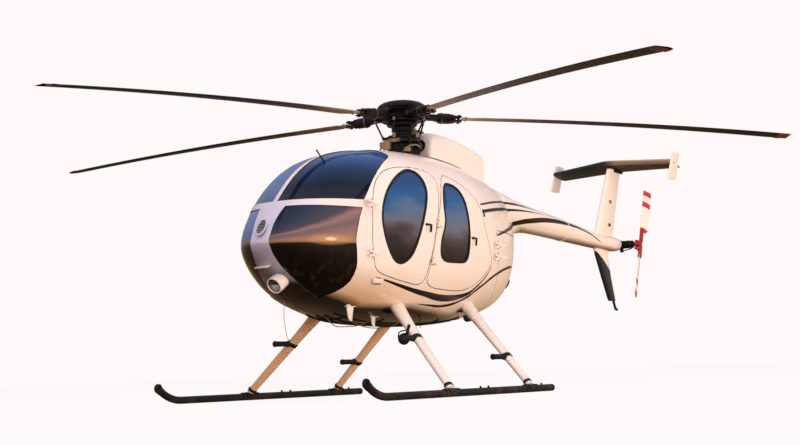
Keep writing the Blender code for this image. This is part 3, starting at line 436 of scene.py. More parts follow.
# %% Shape helpers
def between(rows, steps, closed=False):
    """Catmull and Rom's spline through the rows of a table."""
    count = len(rows)
    result = []
    for i in range(count if closed else count - 1):
        if closed:
            a, b, c, d = (rows[(i + k) % count] for k in (-1, 0, 1, 2))
        else:
            a, b, c, d = (rows[max(0, min(count - 1, i + k))] for k in (-1, 0, 1, 2))
        for step in range(steps):
            t = step / steps
            result.append(tuple(
                0.5 * (2 * q + (r - p) * t + (2 * p - 5 * q + 4 * r - s) * t * t + (3 * q - p - 3 * r + s) * t ** 3)
                for p, q, r, s in zip(a, b, c, d)))
    if not closed:
        result.append(tuple(rows[-1]))
    return result


def loft(rows, ring):
    bm = bmesh.new()
    loops = []
    for row in rows:
        verts = [bm.verts.new(point) for point in ring(row)]
        loops.append([bm.edges.new((verts[i - 1], verts[i])) for i in range(len(verts))])
    for first, second in zip(loops, loops[1:]):
        bmesh.ops.bridge_loops(bm, edges=first + second)
    bmesh.ops.holes_fill(bm, edges=[e for e in bm.edges if e.is_boundary])
    return bm


def oriented(bm, place, axis=(0, 0, 1)):
    turn = Vector((0, 0, 1)).rotation_difference(Vector(axis)).to_matrix()
    bmesh.ops.rotate(bm, matrix=turn, verts=bm.verts)
    bmesh.ops.translate(bm, vec=place, verts=bm.verts)
    return bm


def turned(profile, place=(0, 0, 0), axis=(0, 0, 1), steps=32):
    """A lathe: (radius, height) points spun about an axis."""
    bm = bmesh.new()
    verts = [bm.verts.new((radius, 0, height)) for radius, height in profile]
    edges = [bm.edges.new(pair) for pair in zip(verts, verts[1:])]
    bmesh.ops.spin(
        bm, geom=verts + edges, cent=(0, 0, 0), axis=(0, 0, 1), angle=2 * math.pi,
        steps=steps, use_merge=True)
    bmesh.ops.remove_doubles(bm, verts=bm.verts, dist=1e-5)
    return oriented(bm, place, axis)


def disc(radius, height, place, axis=(0, 0, 1), steps=28, edge=None):
    """A round slab with eased rims."""
    ease = min(radius, height) * 0.22 if edge is None else edge
    half = height / 2
    return turned(((0, -half), (radius - ease, -half), (radius, ease - half), (radius, half - ease),
                   (radius - ease, half), (0, half)), place, axis, steps)


def collar(outer, inner, height, place, axis=(0, 0, 1), steps=32):
    """A ring with eased rims."""
    ease = min(outer - inner, height) * 0.2
    half = height / 2
    return turned(((inner, -half), (outer - ease, -half), (outer, ease - half), (outer, half - ease),
                   (outer - ease, half), (inner, half), (inner, -half)), place, axis, steps)


def rod(start, end, radius, steps=12):
    start, end = Vector(start), Vector(end)
    return disc(radius, (end - start).length, (start + end) / 2, end - start, steps, radius * 0.2)


def slab(size, place=(0, 0, 0), ease=0.004, segments=2):
    """A block with rounded edges."""
    bm = bmesh.new()
    bmesh.ops.create_cube(bm, size=1.0)
    bmesh.ops.scale(bm, vec=size, verts=bm.verts)
    bmesh.ops.bevel(bm, geom=list(bm.edges), offset=ease, segments=segments, profile=0.5,
                    affect="EDGES", material=-1)
    bmesh.ops.translate(bm, vec=place, verts=bm.verts)
    return bm


def spun(bm, euler_deg, about=(0, 0, 0)):
    matrix = Euler([math.radians(v) for v in euler_deg]).to_matrix()
    bmesh.ops.rotate(bm, cent=about, matrix=matrix, verts=bm.verts)
    return bm


def shifted(bm, by):
    bmesh.ops.translate(bm, vec=by, verts=bm.verts)
    return bm


def merged(*parts):
    """Several closed shapes in one mesh."""
    whole = bmesh.new()
    for part in parts:
        mesh = bpy.data.meshes.new("part")
        part.to_mesh(mesh)
        part.free()
        whole.from_mesh(mesh)
        bpy.data.meshes.remove(mesh)
    return whole


def bar(points, radius, sides=10, smooth=True):
    """A round bar along a curve."""
    curve = bpy.data.curves.new("bar", "CURVE")
    curve.dimensions = "3D"
    curve.bevel_depth = radius
    curve.bevel_resolution = max(1, sides // 4 - 1)
    curve.use_fill_caps = True
    line = between([tuple(p) for p in points], 6) if smooth else points
    spline = curve.splines.new("POLY")
    spline.points.add(len(line) - 1)
    for knot, point in zip(spline.points, line):
        knot.co = (*point, 1.0)
    holder = bpy.data.objects.new("bar", curve)
    mesh = bpy.data.meshes.new_from_object(holder)
    bpy.data.objects.remove(holder)
    bpy.data.curves.remove(curve)
    bm = bmesh.new()
    bm.from_mesh(mesh)
    bmesh.ops.remove_doubles(bm, verts=bm.verts, dist=1e-6)
    bpy.data.meshes.remove(mesh)
    return bm


made = []


def dress(name, shape, body, material, replaces=(), angle=35.0, in_place=False, lining=None):
    """Turns a shape into a finished piece that rides on a body. A lining is its inner faces' material."""
    if isinstance(shape, bmesh.types.BMesh):
        mesh = bpy.data.meshes.new(name)
        bmesh.ops.recalc_face_normals(shape, faces=shape.faces)
        shape.to_mesh(mesh)
        shape.free()
    else:
        mesh = shape
    if not in_place:
        mesh.transform(Matrix.Translation(MAST))
    mesh.materials.clear()
    mesh.materials.append(material)
    if lining:
        mesh.materials.append(lining)
    for polygon in mesh.polygons:
        polygon.material_index = 0
        if lining and outer_skin.find_nearest(polygon.center - MAST)[3] > LINING_DEPTH:
            polygon.material_index = 1
    mesh.shade_smooth()
    mesh.set_sharp_from_angle(angle=math.radians(angle))
    piece = bpy.data.objects.new(name, mesh)
    bpy.context.scene.collection.objects.link(piece)
    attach(piece, body)
    if replaces:
        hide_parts(*replaces)
    made.append(name)
    return piece


tools = []


def tool(name, bm):
    """A cutter, removed at the end."""
    bmesh.ops.recalc_face_normals(bm, faces=bm.faces)
    mesh = bpy.data.meshes.new(name)
    bm.to_mesh(mesh)
    bm.free()
    made_tool = bpy.data.objects.new(name, mesh)
    bpy.context.scene.collection.objects.link(made_tool)
    made_tool.hide_render = True
    tools.append(made_tool)
    return made_tool


def carved(shape, *steps):
    """Applies boolean steps of (operation, tool) and gives the mesh."""
    target = shape if isinstance(shape, bpy.types.Object) else tool("blank", shape)
    for operation, other in steps:
        modifier = target.modifiers.new("cut", "BOOLEAN")
        modifier.operation = operation
        modifier.solver = "EXACT"
        modifier.object = other
    bpy.context.view_layer.update()
    graph = bpy.context.evaluated_depsgraph_get()
    mesh = bpy.data.meshes.new_from_object(target.evaluated_get(graph))
    target.modifiers.clear()
    return mesh


# %% [markdown]
# The pod is an egg. Eighteen stations give its bottom, top, half width and how square
# each half of the section is, the same values as the solids use, and a spline fills in
# between them so that the gloss runs without facets.

# %% The pod's skin
STATIONS = (  # y, bottom z, top z, half width, height of the widest line, squareness above, below
    (-2.158, 1.360, 1.360, 0.000, 1.360, 2.00, 2.00),
    (-2.134, 1.299, 1.421, 0.165, 1.360, 2.13, 2.00),
    (-2.060, 1.175, 1.574, 0.299, 1.350, 2.28, 2.00),
    (-1.899, 1.010, 1.770, 0.425, 1.335, 2.45, 2.05),
    (-1.684, 0.857, 1.985, 0.526, 1.320, 2.59, 2.10),
    (-1.400, 0.761, 2.160, 0.610, 1.325, 2.67, 2.15),
    (-1.050, 0.693, 2.264, 0.668, 1.351, 2.57, 2.20),
    (-0.650, 0.673, 2.314, 0.690, 1.382, 2.43, 2.25),
    (-0.200, 0.666, 2.338, 0.696, 1.414, 2.30, 2.25),
    (0.200, 0.681, 2.340, 0.679, 1.436, 2.18, 2.20),
    (0.550, 0.711, 2.316, 0.639, 1.456, 2.11, 2.15),
    (0.900, 0.755, 2.263, 0.558, 1.465, 2.07, 2.10),
    (1.200, 0.818, 2.209, 0.460, 1.483, 2.03, 2.05),
    (1.450, 0.908, 2.150, 0.350, 1.513, 2.00, 2.00),
    (1.640, 1.051, 2.095, 0.243, 1.568, 2.00, 2.00),
    (1.780, 1.252, 2.050, 0.162, 1.661, 2.00, 2.00),
    (1.900, 1.505, 1.982, 0.090, 1.763, 2.00, 2.00),
    (1.970, 1.780, 1.780, 0.000, 1.780, 2.00, 2.00),
)
SKIN_ROWS = between(STATIONS, 4)
SKIN_RIBS = 112
WALL = 0.030


def skin(inset=0.0):
    bm = bmesh.new()
    rings = len(SKIN_ROWS) - 1
    bmesh.ops.create_uvsphere(bm, u_segments=SKIN_RIBS, v_segments=rings, radius=1.0)
    for vert in bm.verts:
        ring = round(math.acos(max(-1.0, min(1.0, vert.co.z))) / math.pi * rings)
        y, bottom, top, half_width, widest, above, below = SKIN_ROWS[ring]
        angle = math.atan2(vert.co.y, vert.co.x)
        power = above if math.sin(angle) > 0 else below
        cosine = math.copysign(abs(math.cos(angle)) ** (2 / power), math.cos(angle))
        sine = math.copysign(abs(math.sin(angle)) ** (2 / power), math.sin(angle))
        if ring in (0, rings):
            cosine = sine = 0.0
        height = (top - widest) if sine > 0 else (widest - bottom)
        vert.co = (max(half_width, 0.0) * cosine, y, widest + height * sine)
    bm.normal_update()
    for vert, normal in [(v, v.normal.copy()) for v in bm.verts]:
        vert.co -= normal * inset
    return bm


def prism(outline, axis, low, high):
    bm = bmesh.new()
    verts = [bm.verts.new((low, a, b) if axis == "X" else (a, low, b)) for a, b in outline]
    moved = bmesh.ops.extrude_face_region(bm, geom=[bm.faces.new(verts)])["geom"]
    step = (high - low, 0, 0) if axis == "X" else (0, high - low, 0)
    bmesh.ops.translate(bm, vec=step, verts=[v for v in moved if isinstance(v, bmesh.types.BMVert)])
    return bm


def shrink(outline, by):
    """Moves every side of a closed outline inwards, or outwards if by is negative."""
    count = len(outline)
    area = sum(outline[i][0] * outline[(i + 1) % count][1] - outline[(i + 1) % count][0] * outline[i][1]
               for i in range(count))
    way = 1.0 if area > 0 else -1.0
    points = []
    for i in range(count):
        before, here, after = (Vector(outline[(i + k) % count]) for k in (-1, 0, 1))
        normals = [Vector((-d.y, d.x)) * way for d in ((here - before).normalized(), (after - here).normalized())]
        middle = (normals[0] + normals[1]).normalized()
        points.append(tuple(here + middle * (by / max(0.3, middle.dot(normals[0])))))
    return points


def side_cutter(name, outline, side, taper=0.0, near=0.10, far=1.20):
    """A cutter through one side wall. Its outline is true 0.62 m from the centre plane."""
    middle = [sum(values) / len(outline) for values in zip(*outline)]

    def ring(x):
        grow = 1.0 + taper * (x - 0.62)
        return [(side * x, middle[0] + (y - middle[0]) * grow, middle[1] + (z - middle[1]) * grow)
                for y, z in outline]

    return tool(name, loft((near, far), ring))


def side_of_pod(y, z):
    """The skin's half width at a station and height."""
    for first, second in zip(SKIN_ROWS, SKIN_ROWS[1:]):
        if first[0] <= y <= second[0]:
            share = (y - first[0]) / max(1e-9, second[0] - first[0])
            _, bottom, top, half_width, widest, above, below = (a + (b - a) * share for a, b in zip(first, second))
            reach, power = (top - widest, above) if z > widest else (widest - bottom, below)
            ratio = min(1.0, abs(z - widest) / max(1e-9, reach))
            return half_width * max(0.0, 1.0 - ratio ** power) ** (1.0 / power)
    return 0.0


print("skin rows:", len(SKIN_ROWS))

# %% [markdown]
# The outlines of doors and windows are drawn on the side view. The windscreens and the
# chin windows are bounded on two views, so their cutters are two prisms crossed.

# %% Outlines
def rounded(outline, times=1):
    for _ in range(times):
        cut = []
        for i, here in enumerate(outline):
            after = outline[(i + 1) % len(outline)]
            cut += [tuple(a + (b - a) * share for a, b in zip(here, after)) for share in (0.22, 0.78)]
        outline = cut
    return outline


FRONT_DOOR = rounded((
    (-1.310, 1.095), (-1.360, 1.250), (-1.368, 1.400), (-1.340, 1.690), (-1.265, 1.890),
    (-1.110, 2.030), (-0.880, 2.105), (-0.600, 2.135), (-0.370, 2.125), (-0.262, 2.040),
    (-0.320, 1.900), (-0.476, 1.570), (-0.588, 1.220), (-0.622, 0.990), (-0.960, 1.030),
), 2)
REAR_DOOR = rounded((
    (-0.590, 0.985), (-0.010, 0.955), (0.200, 0.985), (0.360, 1.060), (0.510, 1.165),
    (0.590, 1.260), (0.530, 1.390), (0.435, 1.560), (0.425, 1.730), (0.380, 1.880),
    (0.240, 1.990), (0.060, 2.070), (-0.120, 2.110), (-0.220, 2.010), (-0.285, 1.900),
    (-0.444, 1.570), (-0.556, 1.220),
), 2)
FRONT_WINDOW = between((
    (-0.655, 2.080), (-0.580, 2.070), (-0.530, 2.035), (-0.508, 1.975), (-0.515, 1.900), (-0.545, 1.815),
    (-0.620, 1.670), (-0.720, 1.480), (-0.800, 1.340), (-0.870, 1.250), (-0.960, 1.193), (-1.045, 1.187),
    (-1.120, 1.230), (-1.180, 1.320), (-1.220, 1.435), (-1.236, 1.560), (-1.212, 1.680), (-1.155, 1.785),
    (-1.075, 1.875), (-0.970, 1.955), (-0.850, 2.020), (-0.740, 2.062),
), 2, True)
REAR_WINDOW = between((
    (-0.130, 1.990), (-0.060, 1.992), (0.020, 1.975), (0.080, 1.933), (0.111, 1.870), (0.120, 1.790),
    (0.115, 1.650), (0.105, 1.500), (0.085, 1.370), (0.060, 1.285), (0.015, 1.243), (-0.060, 1.231),
    (-0.200, 1.228), (-0.330, 1.231), (-0.398, 1.262), (-0.420, 1.330), (-0.400, 1.435), (-0.350, 1.530),
    (-0.315, 1.625), (-0.308, 1.730), (-0.280, 1.825), (-0.240, 1.900), (-0.190, 1.960),
), 2, True)
SCREEN_SIDE = (
    (-2.60, 1.725), (-1.410, 1.735), (-1.350, 1.805), (-1.300, 1.865), (-1.225, 1.940), (-1.120, 2.025),
    (-1.025, 2.085), (-0.930, 2.135), (-0.800, 2.190), (-0.748, 2.222), (-0.748, 2.600), (-2.60, 2.600),
)
SCREEN_FRONT = ((0.024, 1.700), (0.90, 1.700), (0.90, 2.70), (0.024, 2.70))
CHIN_SIDE = (
    (-2.60, 1.690), (-1.440, 1.665), (-1.483, 1.580), (-1.510, 1.500), (-1.530, 1.430), (-1.540, 1.360),
    (-1.530, 1.250), (-1.515, 1.140), (-1.520, 1.075), (-1.530, 1.020), (-1.552, 0.980), (-1.580, 0.945),
    (-1.615, 0.915), (-1.660, 0.890), (-1.800, 0.840), (-2.60, 0.700),
)
CHIN_FRONT = (
    (0.150, 1.700), (0.125, 1.610), (0.110, 1.510), (0.103, 1.390), (0.110, 1.270),
    (0.132, 1.160), (0.170, 1.060), (0.200, 0.970), (0.232, 0.880), (0.260, 0.780),
    (0.900, 0.700), (0.900, 1.800), (0.150, 1.800),
)
CABIN_VOID = ((-3.0, 0.86), (0.860, 0.86), (0.420, 1.900), (0.260, 2.60), (-3.0, 2.60))
ENGINE_VOID = ((1.015, 0.60), (0.550, 1.700), (1.70, 1.700), (2.3, 1.660), (2.3, 0.60))
COWL_DOOR = ((1.087, 0.50), (0.685, 1.450), (0.700, 1.560), (0.780, 1.600), (2.3, 1.600), (2.3, 0.50))
DOOR_GAP = 0.007


def crossing(name, side_outline, front_outline, side, by=0.0):
    """The space inside both a side-view and a front-view outline."""
    front = [(x * side, z) for x, z in shrink(front_outline, by)]
    cutter = tool(name, prism(shrink(side_outline, by), "X", -1.2, 1.2))
    other = tool(f"{name}_front", prism(front, "Y", -3.0, 0.0))
    mesh = carved(cutter, ("INTERSECT", other))
    cutter.data = mesh
    return cutter


# %% [markdown]
# The shell keeps a whole wall's thickness round each opening. Each opening's cutter is
# used twice: once on the shell and once, a little smaller, to lift the door or pane out.

# %% Cutters for the pod
inner_wall = tool("inner_wall", skin(WALL))
pane_inner = tool("pane_inner", skin(0.014))
mid_wall = tool("mid_wall", skin(WALL / 2))
seal_inner = tool("seal_inner", skin(0.020))
cabin_tool = tool("cabin_void", skin(WALL))
cabin_tool.data = carved(cabin_tool, ("INTERSECT", tool("cabin_limits", prism(CABIN_VOID, "X", -1.2, 1.2))))
engine_tool = tool("engine_void", skin(WALL))
engine_tool.data = carved(engine_tool, ("INTERSECT", tool("engine_limits", prism(ENGINE_VOID, "X", -1.2, 1.2))))
cowl_tool = tool("cowl_cut", prism(COWL_DOOR, "X", -1.2, 1.2))
PIPE_START = Vector((0.0, 1.31, 1.34))
PIPE_END = Vector((0.0, 1.77, 1.14))
PIPE_ALONG = (PIPE_END - PIPE_START).normalized()
pipe_way = tool("pipe_way", rod(PIPE_START, PIPE_END + PIPE_ALONG * 0.5, 0.110, 40))
DOOR_ROWS = (("front", FRONT_DOOR, FRONT_WINDOW), ("rear", REAR_DOOR, REAR_WINDOW))
SCREEN_ROWS = (("windscreen", SCREEN_SIDE, SCREEN_FRONT), ("chin_window", CHIN_SIDE, CHIN_FRONT))
shell_steps = [("DIFFERENCE", cabin_tool), ("DIFFERENCE", engine_tool), ("DIFFERENCE", cowl_tool)]
for side_name, side in SIDES:
    for place, outline, window in DOOR_ROWS:
        shell_steps.append(("DIFFERENCE", side_cutter(
            f"{place}_aperture_{side_name}", outline, side, 0.40, 0.36, 0.80)))
    for place, across, ahead in SCREEN_ROWS:
        shell_steps.append(("DIFFERENCE", crossing(f"{place}_cut_{side_name}", across, ahead, side)))

# %% [markdown]
# Each door turns on two plain hinges: a strap between two lugs, on a pin. Their outlines
# are seen along the hinge line, outwards and aft of it.

# %% Hinges
HINGE_ROWS = {  # door: point on the line, direction, heights, lug from and to, strap foot
    "front_door": (Vector((0.632, -1.378, 1.45)), Vector((0, 0, 1)), (1.26, 1.70), -0.045, 0.000, 0.060),
    "rear_door": (Vector((0.706, -0.457, 1.57)), Vector((0.0, 0.300, 0.954)), (1.22, 1.57), -0.006, 0.010, 0.032),
    "engine_door": (Vector((0.648, 0.665, 1.25)), Vector((0, 0, 1)), (1.32, 1.44), -0.045, 0.000, 0.105),
}
KNUCKLE = 0.011


def knuckle_arc(first, last, count):
    return [(KNUCKLE * math.cos(first + (last - first) * k / count),
             KNUCKLE * math.sin(first + (last - first) * k / count)) for k in range(count + 1)]


def hinge_parts(door, side, half):
    """The lugs on the pod, or the straps on a door."""
    base, direction, heights, low, high, foot = HINGE_ROWS[door]
    aft = Vector((0.0, direction.z, -direction.y))
    if half == "lug":
        arc = knuckle_arc(-math.pi / 2, math.pi - math.asin(high / KNUCKLE), 12)
        outline = [(-0.12, low), (0.0, low), *arc, (-0.12, high)]
    else:
        first = math.pi - math.asin(math.sqrt(KNUCKLE ** 2 - 0.006 ** 2) / KNUCKLE)
        arc = knuckle_arc(first, 2 * math.pi + math.acos(0.008 / KNUCKLE), 14)
        outline = [(0.008, foot + 0.036), (-0.12, foot + 0.036), (-0.12, foot), (-0.006, foot), *arc]
    whole = bmesh.new()
    for height in heights:
        place = base + direction * ((height - base.z) / direction.z)
        for level in ((-1, 1) if half == "lug" else (0,)):
            rings = []
            for way in (-1, 1):
                lift = direction * (level * 0.0204 + way * 0.0100)
                ring = [place + Vector((u, 0, 0)) + aft * v + lift for u, v in outline]
                rings.append([whole.verts.new((p.x * side, p.y, p.z)) for p in ring])
            loops = [[whole.edges.new((ring[i - 1], ring[i])) for i in range(len(ring))] for ring in rings]
            bmesh.ops.bridge_loops(whole, edges=loops[0] + loops[1])
            bmesh.ops.holes_fill(whole, edges=[e for e in whole.edges if e.is_boundary])
    return whole


def pins(door, side):
    base, direction, heights, *_ = HINGE_ROWS[door]
    parts = []
    for height in heights:
        place = base + direction * ((height - base.z) / direction.z)
        ends = [place + direction * way * 0.034 for way in (-1, 1)]
        parts.append(rod(*[(p.x * side, p.y, p.z) for p in ends], 0.0050, 14))
        for end in ends:
            parts.append(disc(0.0085, 0.006, (end.x * side, end.y, end.z), (0, direction.y, direction.z), 6))
    return merged(*parts)


# %% Shell, doors and panes
outer_form = skin()
outer_skin = BVHTree.FromBMesh(outer_form)
outer_form.free()
LINING_DEPTH = 0.014
shell = dress("pod_shell", carved(skin(), *shell_steps), "airframe", pod_paint, ("fuselage_shell",), 28, lining=cabin_trim)
GLASS = {"windscreen": {"left": screen_glass, "right": far_screen_glass},
         "chin_window": {"left": chin_glass, "right": far_chin_glass}}
for side_name, side in SIDES:
    for place, outline, window in DOOR_ROWS:
        body = f"{place}_door_{side_name}"
        leaf_tool = side_cutter(f"{body}_leaf", shrink(outline, DOOR_GAP), side, 0.40, 0.30, 0.85)
        hole = side_cutter(f"{body}_hole", window, side)
        leaf = carved(skin(), ("DIFFERENCE", inner_wall), ("INTERSECT", leaf_tool), ("DIFFERENCE", hole))
        dress(f"{body}_skin", leaf, body, pod_paint, (body,), 28, lining=cabin_trim)
        pane_tool = side_cutter(f"{body}_pane_tool", shrink(window, 0.0006), side)
        pane = carved(skin(0.006), ("DIFFERENCE", pane_inner), ("INTERSECT", pane_tool))
        dress(f"{body}_pane", pane, body, door_glass, (f"{place}_door_window_{side_name}",), 28)
        rim = side_cutter(f"{body}_rim", shrink(window, -0.006), side)
        rim.data = carved(rim, ("DIFFERENCE", side_cutter(f"{body}_rim_hole", shrink(window, 0.016), side, 0, 0.05, 1.3)))
        seal = carved(skin(-0.0025), ("DIFFERENCE", tool("seal_skin", skin(0.0055))), ("INTERSECT", rim))
        dress(f"{body}_window_seal", seal, body, rubber, (), 28)
    for place, across, ahead in SCREEN_ROWS:
        pane_tool = crossing(f"{place}_pane_{side_name}", across, ahead, side, 0.0006)
        pane = carved(skin(0.006), ("DIFFERENCE", pane_inner), ("INTERSECT", pane_tool))
        dress(f"{place}_pane_{side_name}", pane, "airframe", GLASS[place][side_name],
              (f"{place}_{side_name}",), 28)
    body = f"engine_door_{side_name}"
    half = side_cutter(f"{body}_half", shrink(COWL_DOOR, DOOR_GAP), side, 0.0, 0.0025)
    leaf = carved(skin(), ("DIFFERENCE", inner_wall), ("INTERSECT", half), ("DIFFERENCE", pipe_way))
    dress(f"{body}_skin", leaf, body, pod_paint, (body,), 28)
    for door in HINGE_ROWS:
        lugs = carved(hinge_parts(door, side, "lug"), ("DIFFERENCE", mid_wall))
        dress(f"{door}_lugs_{side_name}", lugs, "airframe", plain_paint)
        dress(f"{door}_pins_{side_name}", pins(door, side), "airframe", rotor_black)
        straps = carved(hinge_parts(door, side, "strap"), ("DIFFERENCE", mid_wall))
        dress(f"{door}_straps_{side_name}", straps, f"{door}_{side_name}", plain_paint)
print("pod pieces:", len(made))

# %% [markdown]
# The nose carries a small landing lamp in a drooping housing, a fresh-air vent and a
# short probe on the windscreen's top edge. The door latches are bent levers.

# %% A point on the skin
def skin_point(side, y, z, out=0.0):
    """A point on the skin with its outward direction."""
    here = Vector((side * side_of_pod(y, z), y, z))
    step = 0.01
    along = Vector((side * side_of_pod(y + step, z), y + step, z)) - Vector((side * side_of_pod(y - step, z), y - step, z))
    upward = Vector((side * side_of_pod(y, z + step), y, z + step)) - Vector((side * side_of_pod(y, z - step), y, z - step))
    normal = along.cross(upward).normalized()
    if normal.x * side < 0:
        normal = -normal
    return here + normal * out, normal


def facing(bm, place, normal):
    """Turns a shape made on the XY plane so that its +Z is the skin's outward normal and its +Y stays upright."""
    z_axis = Vector(normal).normalized()
    x_axis = Vector((0, 0, 1)).cross(z_axis).normalized()
    y_axis = z_axis.cross(x_axis)
    matrix = Matrix((x_axis, y_axis, z_axis)).transposed()
    bmesh.ops.rotate(bm, matrix=matrix, verts=bm.verts)
    bmesh.ops.translate(bm, vec=place, verts=bm.verts)
    return bm


# %% Landing lamp, vent and probe
LAMP = Vector((0.045, -1.998, 1.006))
LAMP_AIM = Vector((0.0, -0.86, -0.51)).normalized()
skin_blank = tool("skin_blank", skin(0.001))
housing = turned(((0.0, -0.20), (0.045, -0.19), (0.070, -0.12), (0.076, -0.02), (0.074, 0.030), (0.069, 0.034),
                  (0.064, 0.030), (0.062, 0.000), (0.050, -0.030), (0.0, -0.045)), LAMP, LAMP_AIM, 48)
dress("landing_light_housing", housing, "airframe", plain_paint, ("landing_light",), 40)
lens = turned(((0.0, 0.022), (0.030, 0.018), (0.056, 0.008), (0.061, 0.000), (0.056, -0.004), (0.0, -0.006)),
              LAMP, LAMP_AIM, 40)
dress("landing_light_lens", lens, "airframe", nose_lamp_glass, (), 50)
dress("landing_light_bezel", collar(0.068, 0.058, 0.012, LAMP + LAMP_AIM * 0.018, LAMP_AIM, 40),
      "airframe", steel_metal)
visor = spun(slab((0.150, 0.055, 0.010), (0, 0, 0), 0.004), (24, 0, 0))
shifted(visor, (-0.040, -2.070, 1.160))
dress("nose_visor", visor, "airframe", plain_paint)
vent_place = Vector((0.0, -2.118, 1.495))
vent_out = Vector((0.0, -0.86, 0.50)).normalized()
vent_rim = collar(0.060, 0.049, 0.012, (0, 0, 0), (0, 0, 1), 36)
bmesh.ops.scale(vent_rim, vec=(0.92, 1.48, 1.0), verts=vent_rim.verts)
dress("nose_vent_rim", facing(vent_rim, vent_place, vent_out), "airframe", pod_paint)
vent_cup = turned(((0.0, -0.004), (0.049, -0.002), (0.0505, 0.003), (0.048, 0.004), (0.0, 0.001)), steps=32)
bmesh.ops.scale(vent_cup, vec=(0.92, 1.48, 1.0), verts=vent_cup.verts)
slats = [slab((0.084 * math.cos(k * 0.45), 0.006, 0.006), (0, 0.031 * k, 0.006), 0.002) for k in (-2, -1, 0, 1, 2)]
dress("nose_vent_grille", facing(merged(vent_cup, *slats), vent_place, vent_out), "airframe", steel_metal)
probe = merged(rod((0.205, -1.475, 2.078), (0.165, -1.545, 2.200), 0.007), rod((0.205, -1.470, 2.065), (0.203, -1.478, 2.090), 0.016),
               rod((0.163, -1.549, 2.207), (0.166, -1.544, 2.197), 0.009))
dress("windscreen_probe", probe, "airframe", rotor_black)

# %% Latches, fuel caps and steps
def latch(side, y, z):
    """A recessed plate with a bent lever."""
    place, normal = skin_point(side, y, z, 0.003)
    plate = slab((0.050, 0.085, 0.008), (0, 0, 0), 0.003)
    arm = slab((0.060, 0.018, 0.014), (0.0, 0.026, 0.012), 0.004)
    drop = spun(slab((0.018, 0.075, 0.014), (0, 0, 0), 0.004), (0, 0, -14 * side))
    shifted(drop, (0.032 * side, -0.006, 0.012))
    knob = disc(0.012, 0.022, (-0.020 * side, 0.026, 0.006), (0, 0, 1), 20)
    return facing(merged(arm, drop, knob), place, normal), facing(plate, place, normal)


for side_name, side in SIDES:
    for door, y, z in (("front_door", -0.610, 1.530), ("rear_door", 0.165, 1.450)):
        lever, plate = latch(side, y, z)
        dress(f"{door}_latch_{side_name}", lever, f"{door}_{side_name}", rotor_black)
        dress(f"{door}_latch_plate_{side_name}", plate, f"{door}_{side_name}", plain_paint)
    place, normal = skin_point(side, 0.455, 1.745, 0.002)
    dress(f"fuel_cap_{side_name}", facing(merged(slab((0.026, 0.075, 0.010), (0, 0, 0), 0.003)), place, normal),
          "airframe", rotor_black)
    step_place, step_normal = skin_point(side, -1.25, 1.030, 0.0)
    step = slab((0.120, 0.045, 0.020), (0, 0, 0.008), 0.008, 3)
    dress(f"step_bump_{side_name}", facing(step, step_place, step_normal), "airframe", plain_paint)
    step_tread = slab((0.090, 0.014, 0.012), (0, -0.026, 0.006), 0.004, 2)
    dress(f"step_tread_{side_name}", facing(step_tread, step_place, step_normal), "airframe", rubber)

# %% [markdown]
# Rows of flush rivets tell that the pod is sheet metal. They are tiny
# domes, so they are made once per row and kept to a few faces each.

# %% Rivets
def rivet_row(path, spacing, radius=0.0032):
    """Low domes along a path of (side, y, z)."""
    parts = []
    for (side, y0, z0), (_, y1, z1) in zip(path, path[1:]):
        length = math.hypot(y1 - y0, z1 - z0)
        for k in range(int(length / spacing)):
            share = k * spacing / length
            place, normal = skin_point(side, y0 + (y1 - y0) * share, z0 + (z1 - z0) * share)
            parts.append(oriented(turned(((radius, -0.001), (radius * 0.8, 0.0009), (0.0, 0.0014)), steps=6), place, normal))
    return merged(*parts)


for side_name, side in SIDES:
    rows = rivet_row([(side, -1.43, 1.60), (side, -1.44, 1.40), (side, -1.41, 1.15), (side, -1.36, 1.02)], 0.045)
    dress(f"post_rivets_{side_name}", rows, "airframe", plain_paint)
    rows = rivet_row([(side, -1.20, 0.93), (side, -0.60, 0.88), (side, 0.10, 0.87), (side, 0.55, 0.98)], 0.055)
    dress(f"sill_rivets_{side_name}", rows, "airframe", plain_paint)
print("pieces so far:", len(made))

# %% [markdown]
# The mast fairing and the boom are lofted again with finer rings, from the same rows as
# the solids. The fairing's front has a flared inlet lip and a screen inside, with a black
# plate behind it as painted shade deep in the inlet.

# %% Fairing and boom
FAIRING_ROWS = between((  # y, base z, top z, half width
    (0.215, 2.20, 2.470, 0.160), (0.235, 2.20, 2.545, 0.185), (0.290, 2.20, 2.585, 0.200), (0.400, 2.20, 2.595, 0.205),
    (0.700, 2.16, 2.570, 0.200), (1.000, 2.10, 2.520, 0.180), (1.240, 2.04, 2.475, 0.150)), 4)
BOOM_ROWS = between((  # y, centre z, radius
    (0.95, 1.960, 0.262), (1.50, 1.930, 0.220), (1.95, 1.888, 0.176), (2.40, 1.855, 0.146), (3.10, 1.795, 0.124),
    (3.95, 1.715, 0.094), (4.35, 1.700, 0.090), (4.50, 1.700, 0.075)), 4)


def fairing_ring(row):
    y, base, top, half_width = row
    points = [(-half_width, y, base), (half_width, y, base)]
    shoulder = top - 0.62 * half_width
    for k in range(29):
        turn = math.pi * k / 28
        points.append((half_width * math.copysign(abs(math.cos(turn)) ** 0.75, math.cos(turn)), y,
                       shoulder + (top - shoulder) * math.sin(turn) ** 0.75))
    return points


def boom_ring(row, grow=0.0, count=56):
    y, z, radius = row
    return [((radius + grow) * math.cos(2 * math.pi * k / count), y, z + (radius + grow) * math.sin(2 * math.pi * k / count))
            for k in range(count)]


